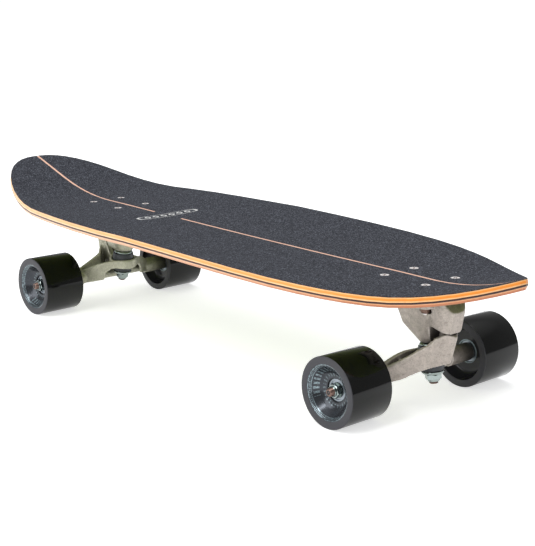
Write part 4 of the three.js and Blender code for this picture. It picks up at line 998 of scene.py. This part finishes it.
def cross_recess():
    """Two crossed wedges that are cut out of a screw's head."""
    vertices = []
    faces = []
    for turn in (0, math.pi / 2):
        base = len(vertices)
        for level in (RECESS_TOP, RECESS_TIP):
            arm, half = level["arm"], level["half_width"]
            for x, y in ((-arm, -half), (arm, -half), (arm, half), (-arm, half)):
                across = x * math.cos(turn) - y * math.sin(turn)
                upward = x * math.sin(turn) + y * math.cos(turn)
                vertices.append((across, upward, level["z"]))
        for face in BLOCK_FACES:
            faces.append(tuple(base + k for k in face))
    return vertices, faces


def screw_mesh():
    profile = [
        (0, -SCREW_LENGTH),
        (SCREW_RADIUS - SCREW_END_BEVEL, -SCREW_LENGTH),
        (SCREW_RADIUS, -SCREW_LENGTH + SCREW_END_RISE),
        (SCREW_RADIUS, -SCREW_HEAD_DEPTH),
        *((SCREW_HEAD_RADIUS + out, height) for out, height in SCREW_RIM),
        (0, 0),
    ]
    head = lathe("screw_blank", profile, MATERIALS["steel"], SMALL_ROUND)
    vertices, faces = cross_recess()
    cutter = new_piece("screw_cutter", vertices, faces, MATERIALS["recess"], RECESS_SHARP_DEGREES)
    cut = head.modifiers.new("recess", "BOOLEAN")
    cut.operation = "DIFFERENCE"
    cut.solver = "EXACT"
    cut.use_self = True
    # The cutter's dark material goes onto the walls of the recess as painted shade
    cut.material_mode = "TRANSFER"
    cut.object = cutter
    bpy.context.view_layer.update()
    graph = bpy.context.evaluated_depsgraph_get()
    mesh = bpy.data.meshes.new_from_object(head.evaluated_get(graph))
    for piece in (head, cutter):
        bpy.data.objects.remove(piece)
    shade(mesh, SCREW_SHARP_DEGREES)
    return mesh


def add_screw(name, mesh, turn):
    screw = link(f"{name}_screw_detail", mesh)
    middle, _ = frame_box(f"{name}_screw")
    at = shift(middle.x, middle.y, deck_height(middle.x, 0)) @ turned(turn)
    place(screw, at, "board", [f"{name}_screw"])


def add_locknut(name):
    nut = hex_nut(
        f"{name}_locknut_detail", LOCKNUT_FLATS, LOCKNUT_HEIGHT, SCREW_RADIUS + BORE_GAP, LOCKNUT_COLLAR,
        MATERIALS["locknut"],
    )
    middle, half = frame_box(f"{name}_locknut")
    at = shift(middle.x, middle.y, middle.z + half.z) @ FLIP
    place(nut, at, "board", [f"{name}_locknut"])


def add_deck_hardware():
    mesh = screw_mesh()
    names = [f"{prefix}_{end}_{side}" for prefix in TRUCKS for side in SIDES for end in ("inner", "outer")]
    for i, name in enumerate(names, 1):
        add_screw(name, mesh, i * SCREW_TURN)
        add_locknut(name)


# Wheels: lines of (radius, depth) under the outer face, or over the inner face

HUB_FACE = 12.6
HUB_GROOVE = {"depth": 13.6, "inner": 0.9, "outer": 1.0}
BEARING_SEAT_GAP = 0.1
BOWL_LINE = [
    (12.6, 12.6), (15.8, 12.0), (18.6, 10.1), (20.8, 7.7),
    (22.7, 5.2), (24.4, 2.9), (25.6, 1.7), (27.1, 1.0),
]
BOWL_STEPS = 5
FACE_START = (27.4, 0.55)
TREAD_EDGE = [(33.9, 0.0), (34.45, 0.12), (34.86, 0.5), (WHEEL_RADIUS, 1.1)]
CAVITY_LINE = [(27.5, 0.0), (26.4, 4.2), (23.6, 10.2), (20.2, 12.2), (12.8, 12.6)]
CAVITY_STEPS = 6
WHEEL_SHARP_DEGREES = 26


def from_outer(line):
    return [(radius, WHEEL_HALF - depth) for radius, depth in line]


def from_inner(line):
    return [(radius, -WHEEL_HALF + depth) for radius, depth in line]


def wheel_profile():
    seat = BEARING_RADIUS + BEARING_SEAT_GAP
    core = [
        *from_inner([(seat, HUB_FACE)]),
        (seat, -SPACER_HALF),
        (HUB_BORE, -SPACER_HALF),
        (HUB_BORE, SPACER_HALF),
        (seat, SPACER_HALF),
        *from_outer([
            (seat, HUB_GROOVE["depth"]),
            (seat + HUB_GROOVE["inner"], HUB_GROOVE["depth"]),
            (seat + HUB_GROOVE["outer"], HUB_FACE),
        ]),
    ]
    bowl = curve_through(from_outer(BOWL_LINE), BOWL_STEPS)
    tread = [*from_outer([FACE_START, *TREAD_EDGE]), (WHEEL_RADIUS, 0.0), *from_inner(TREAD_EDGE[::-1])]
    cavity = curve_through(from_inner(CAVITY_LINE), CAVITY_STEPS)
    return core + bowl + tread + cavity


# Bearings: two races, with a shield set back between them
RACE_BEVEL = 0.3
INNER_RACE = 6.0
SHIELD_INNER = {"radius": 6.1, "depth": 0.5}
SHIELD_OUTER = {"radius": 9.2, "depth": 0.7}
OUTER_RACE = 9.4
BEARING_SHARP_DEGREES = 20


def bearing_profile():
    half = BEARING_WIDTH / 2
    face = [
        (BEARING_BORE, half - RACE_BEVEL),
        (BEARING_BORE + RACE_BEVEL, half),
        (INNER_RACE, half),
        (SHIELD_INNER["radius"], half - SHIELD_INNER["depth"]),
        (SHIELD_OUTER["radius"], half - SHIELD_OUTER["depth"]),
        (OUTER_RACE, half),
        (BEARING_RADIUS - RACE_BEVEL, half),
        (BEARING_RADIUS, half - RACE_BEVEL),
    ]
    return [(radius, -height) for radius, height in face] + face[::-1]


# Speed washers and axle nuts
SPEED_WASHER_PROFILE = [(BEARING_BORE, 0), (7.4, 0), (7.5, 0.15), (7.4, 0.6), (BEARING_BORE, 0.6)]
OUTER_WASHER_GAP = 0.1
INNER_WASHER_GAP = 0.05
AXLE_NUT_GAP = 0.25
AXLE_NUT_COLLAR = 1.8
AXLE_NUT_TURN = 0.35


def add_bearings(name):
    for which, along in (("outer", BEARING_REACH), ("inner", -BEARING_REACH)):
        bearing = lathe(
            f"{name}_{which}_bearing_detail", bearing_profile(), MATERIALS["bearing"], ROUND,
            BEARING_SHARP_DEGREES,
        )
        place(bearing, wheel_place(name, along), f"{name}_roller", [f"{name}_{which}_bearing"])


def add_speed_washers(name, arm):
    bearing_end = BEARING_REACH + BEARING_WIDTH / 2
    for which, along in (
        ("outer", bearing_end + OUTER_WASHER_GAP),
        ("inner", -bearing_end - SPEED_WASHER_ROOM + INNER_WASHER_GAP),
    ):
        washer = lathe(
            f"{name}_{which}_speed_washer", SPEED_WASHER_PROFILE, MATERIALS["zinc"], SMALL_ROUND,
        )
        place(washer, wheel_place(name, along), arm)


def add_axle_nut(name, arm):
    nut = hex_nut(
        f"{name}_axle_nut_detail", AXLE_NUT_FLATS, AXLE_NUT_HEIGHT, AXLE_RADIUS + AXLE_NUT_GAP,
        AXLE_NUT_COLLAR, MATERIALS["zinc"],
    )
    seat = BEARING_REACH + BEARING_WIDTH / 2 + SPEED_WASHER_ROOM
    place(nut, wheel_place(name, seat) @ turned(AXLE_NUT_TURN), arm, [f"{name}_axle_nut"])


def add_wheel(prefix, side):
    name = f"{prefix}_{side}"
    arm = f"{prefix}_truck_arm"
    tyre = lathe(
        f"{name}_wheel_detail", wheel_profile(), MATERIALS["wheel"], WHEEL_ROUND, WHEEL_SHARP_DEGREES,
    )
    at = wheel_place(name) @ turned(TRUCKS[prefix]["facing"])
    place(tyre, at, f"{name}_roller", [f"{name}_wheel"])
    add_bearings(name)
    add_speed_washers(name, arm)
    add_axle_nut(name, arm)


# Axles, with threads at both ends, and on each end a thin dark disc as painted shade of the centre hole

AXLE_PITCH = 1.25
AXLE_THREAD_LEAD = 2
AXLE_SHANK_CUT = 0.15
AXLE_MIDDLE_CUT = 0.05
CENTRE_HOLE_SHADE_PROFILE = [(0, -0.15), (1.7, -0.1), (2.2, 0.02), (1.8, 0.05), (0, -0.05)]
CENTRE_HOLE_SHADE_GAP = 0.02


def axle_sections():
    thread_start = WHEEL_REACH + BEARING_REACH + BEARING_WIDTH / 2 - AXLE_THREAD_LEAD
    inner = WHEEL_REACH - SPACER_HALF
    outer = WHEEL_REACH + SPACER_HALF
    left = [
        (inner, outer, SPACER_RADIUS, 0),
        (outer, thread_start, AXLE_RADIUS - AXLE_SHANK_CUT, 0),
        (thread_start, AXLE_HALF, AXLE_RADIUS, AXLE_PITCH),
    ]
    right = [(-high, -low, radius, pitch) for low, high, radius, pitch in reversed(left)]
    return [*right, (-inner, inner, AXLE_RADIUS - AXLE_MIDDLE_CUT, 0), *left]


def add_axle(prefix):
    arm = f"{prefix}_truck_arm"
    middle, half = frame_box(f"{prefix}_axle")
    axle = threaded_rod(f"{prefix}_axle_detail", axle_sections(), MATERIALS["axle"])
    place(axle, shift(*middle) @ turned(math.pi / 2, "X"), arm, [f"{prefix}_axle"])
    for side in SIDES:
        # A thin disc of dark rubber on the axle's end: painted shade of the centre hole
        hole_shade = lathe(f"{prefix}_axle_centre_{side}", CENTRE_HOLE_SHADE_PROFILE, MATERIALS["cup"], SMALL_ROUND)
        place(hole_shade, wheel_place(f"{prefix}_{side}", half.y - WHEEL_REACH + CENTRE_HOLE_SHADE_GAP), arm)


# Kingpin stacks

KINGPIN_PITCH = 1.5
KINGPIN_THREAD = 4
KINGPIN_SHANK_CUT = 0.1
KINGPIN_HEAD_OVERLAP = 1
KINGPIN_HEAD_BORE_CUT = 0.2
KINGPIN_HEAD_COLLAR = 0.8
KINGPIN_NUT_COLLAR = 2.0
WASHER_CORNER = 0.9
# Bushings: way is 1 up the kingpin and -1 down; the belly is how far the middle stands out
BUSHINGS = {
    "boardside": {"way": 1, "seat_radius": 13.2, "end_radius": 12.2, "belly": 0.3},
    "roadside": {"way": -1, "seat_radius": 12.6, "end_radius": 10.4, "belly": 0.1},
}
BUSHING_STEPS = 8
BUSHING_EDGE = 0.5
BUSHING_SEAT_HEIGHT = 2.2
BUSHING_BELLY_RISE = 1.0
BUSHING_FLARE = 1.1


def cup_washer_profile():
    bore = KINGPIN_RADIUS + BORE_GAP
    inner = WASHER_RADIUS - WASHER_THICKNESS
    top = WASHER_THICKNESS + WASHER_RIM
    return rounded([
        (bore, 0), (WASHER_RADIUS - WASHER_RIM, 0), (WASHER_RADIUS, WASHER_RIM), (WASHER_RADIUS, top),
        (inner, top), (inner - WASHER_RIM, WASHER_THICKNESS), (bore, WASHER_THICKNESS),
    ], WASHER_CORNER)


def bushing_profile(shape, reach):
    """From its seat in the hanger's ring to its end in the cup washer that stands at the reach."""
    way = shape["way"]
    seat, end_radius = shape["seat_radius"], shape["end_radius"]
    start = way * (RING_FLOOR_HALF + SEAT_GAP)
    end = way * (reach - WASHER_THICKNESS - SEAT_GAP)
    rim = end - way * WASHER_RIM
    bore = KINGPIN_RADIUS + BORE_GAP
    inner = WASHER_RADIUS - WASHER_THICKNESS - 2 * SEAT_GAP
    side = curve_through([
        (seat, start + way * BUSHING_SEAT_HEIGHT),
        ((seat + end_radius) / 2 + shape["belly"], (start + rim) / 2 + way * BUSHING_BELLY_RISE),
        (end_radius, rim - way * SEAT_GAP),
    ], BUSHING_STEPS)
    return [
        (bore + BUSHING_FLARE, start), (seat - BUSHING_EDGE, start), (seat, start + way * BUSHING_EDGE),
        *side, (inner, rim - way * SEAT_GAP), (inner - WASHER_RIM, end), (bore, end),
    ]


def add_kingpin(prefix, lower):
    pin = threaded_rod(f"{prefix}_kingpin_detail", [
        (-lower - KINGPIN_TIP, -lower + KINGPIN_THREAD, KINGPIN_RADIUS, KINGPIN_PITCH),
        (
            -lower + KINGPIN_THREAD, KINGPIN_HEAD_START + KINGPIN_HEAD_OVERLAP,
            KINGPIN_RADIUS - KINGPIN_SHANK_CUT, 0,
        ),
    ], MATERIALS["axle"])
    place(pin, kingpin_place(prefix, 0), "board", [f"{prefix}_kingpin"])
    head = hex_nut(
        f"{prefix}_kingpin_head", KINGPIN_HEAD_FLATS, KINGPIN_HEAD_THICKNESS,
        KINGPIN_RADIUS - KINGPIN_HEAD_BORE_CUT, KINGPIN_HEAD_COLLAR, MATERIALS["zinc"],
    )
    place(head, kingpin_place(prefix, KINGPIN_HEAD_START), "board")


def add_cup_washers(prefix, lower):
    for which, at in (
        ("upper", kingpin_place(prefix, UPPER_REACH) @ FLIP),
        ("lower", kingpin_place(prefix, -lower)),
    ):
        name = f"{prefix}_{which}_cup_washer"
        washer = lathe(f"{name}_detail", cup_washer_profile(), MATERIALS["zinc"])
        place(washer, at, "board", [name])


def add_kingpin_nut(prefix, lower):
    nut = hex_nut(
        f"{prefix}_kingpin_nut_detail", KINGPIN_NUT_FLATS, KINGPIN_NUT_HEIGHT, KINGPIN_RADIUS + BORE_GAP,
        KINGPIN_NUT_COLLAR, MATERIALS["zinc"],
    )
    place(nut, kingpin_place(prefix, -lower - SEAT_GAP) @ FLIP, "board", [f"{prefix}_kingpin_nut"])


def add_bushings(prefix, lower):
    """Each bushing runs from its seat in the hanger's ring to its cup washer."""
    for name, reach in (("boardside", UPPER_REACH), ("roadside", lower)):
        shape = BUSHINGS[name]
        profile = bushing_profile(shape, reach)
        bushing = lathe(f"{prefix}_{name}_bushing_detail", profile, MATERIALS["bushing"])
        bushing.matrix_world = kingpin_place(prefix, 0)
        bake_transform(bushing)
        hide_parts(f"{prefix}_{name}_bushing")


def dress_board():
    dress_deck()
    dress_castings()
    add_deck_hardware()
    for prefix, truck in TRUCKS.items():
        for side in SIDES:
            add_wheel(prefix, side)
        add_axle(prefix)
        for add_piece in (add_kingpin, add_cup_washers, add_kingpin_nut, add_bushings):
            add_piece(prefix, truck["lower_reach"])


# Stage: floor, world, lamps and camera


def add_floor():
    """Pale paper that glows a little to the camera and in gloss, so that it shows white."""
    mesh = bpy.data.meshes.new("floor")
    reach = FLOOR_REACH_METRES
    corners = [(-reach, -reach, 0), (reach, -reach, 0), (reach, reach, 0), (-reach, reach, 0)]
    mesh.from_pydata(corners, [], [(0, 1, 2, 3)])
    floor = link("floor", mesh)
    m = Look("floor_paper")
    m.set(Base_Color=FLOOR_COLOUR, Roughness=0.9, Specular_IOR_Level=0.1)
    path = m.add("ShaderNodeLightPath")
    seen = m.most(path.outputs["Is Camera Ray"], path.outputs["Is Glossy Ray"])
    glow = m.add("ShaderNodeEmission", Color=WHITE, Strength=m.times(seen, FLOOR_GLOW))
    both = m.join("ShaderNodeAddShader", m.shader.outputs[0], glow.outputs[0])
    m.feed(m.tree.nodes["Material Output"].inputs["Surface"], both)
    mesh.materials.append(m.material)


def set_world():
    """Soft light; the camera sees white, and gloss sees white overhead and a dimmer room below."""
    world = bpy.data.worlds.new("studio")
    bpy.context.scene.world = world
    world.use_nodes = True
    world.node_tree.nodes.clear()
    m = Nodes(world.node_tree)
    path = m.add("ShaderNodeLightPath")
    camera = path.outputs["Is Camera Ray"]
    aim = m.parts(m.add("ShaderNodeTexCoord").outputs["Generated"])
    overhead = m.between(aim[2], LOW_SKY_TOP, HIGH_SKY_FOOT, LOW_SKY_LEVEL, 1.0)
    shown = m.most(camera, path.outputs["Is Transmission Ray"], path.outputs["Is Glossy Ray"])
    soft = m.add("ShaderNodeBackground", Color=SKY_COLOUR, Strength=SKY_LEVEL)
    white = m.add("ShaderNodeBackground", Color=WHITE, Strength=m.most(camera, overhead))
    sky = m.join("ShaderNodeMixShader", shown, soft.outputs[0], white.outputs[0])
    m.add("ShaderNodeOutputWorld", Surface=sky)


def add_lamp(name, at, size, power):
    data = bpy.data.lights.new(name, "AREA")
    data.shape = "DISK"
    data.size = size
    data.energy = power
    lamp = link(name, data)
    lamp.location = at
    lamp.rotation_euler = (Vector(LAMP_AIM) - Vector(at)).to_track_quat("-Z", "Y").to_euler()


def add_camera():
    yaw = math.radians(CAMERA_YAW_DEGREES)
    pitch = math.radians(CAMERA_PITCH_DEGREES)
    roll = math.radians(CAMERA_ROLL_DEGREES)
    ahead = Vector((math.cos(yaw) * math.cos(pitch), math.sin(yaw) * math.cos(pitch), math.sin(pitch)))
    level = Vector((math.sin(yaw), -math.cos(yaw), 0))
    upright = level.cross(ahead)
    right = level * math.cos(roll) + upright * math.sin(roll)
    above = upright * math.cos(roll) - level * math.sin(roll)
    data = bpy.data.cameras.new("camera")
    data.lens = CAMERA_LENS
    data.sensor_width = CAMERA_SENSOR
    data.clip_start = CLIP_NEAR
    data.clip_end = CLIP_FAR
    camera = link("camera", data)
    matrix = Matrix((right, above, -ahead)).transposed().to_4x4()
    matrix.translation = Vector(CAMERA_PLACE)
    camera.matrix_world = matrix
    bpy.context.scene.camera = camera


def add_stage():
    add_floor()
    set_world()
    for name, lamp in LAMPS.items():
        add_lamp(name, lamp["place"], lamp["size"], lamp["power"])
    bpy.context.scene.view_settings.view_transform = "Standard"


add_camera()
dress_board()
add_stage()
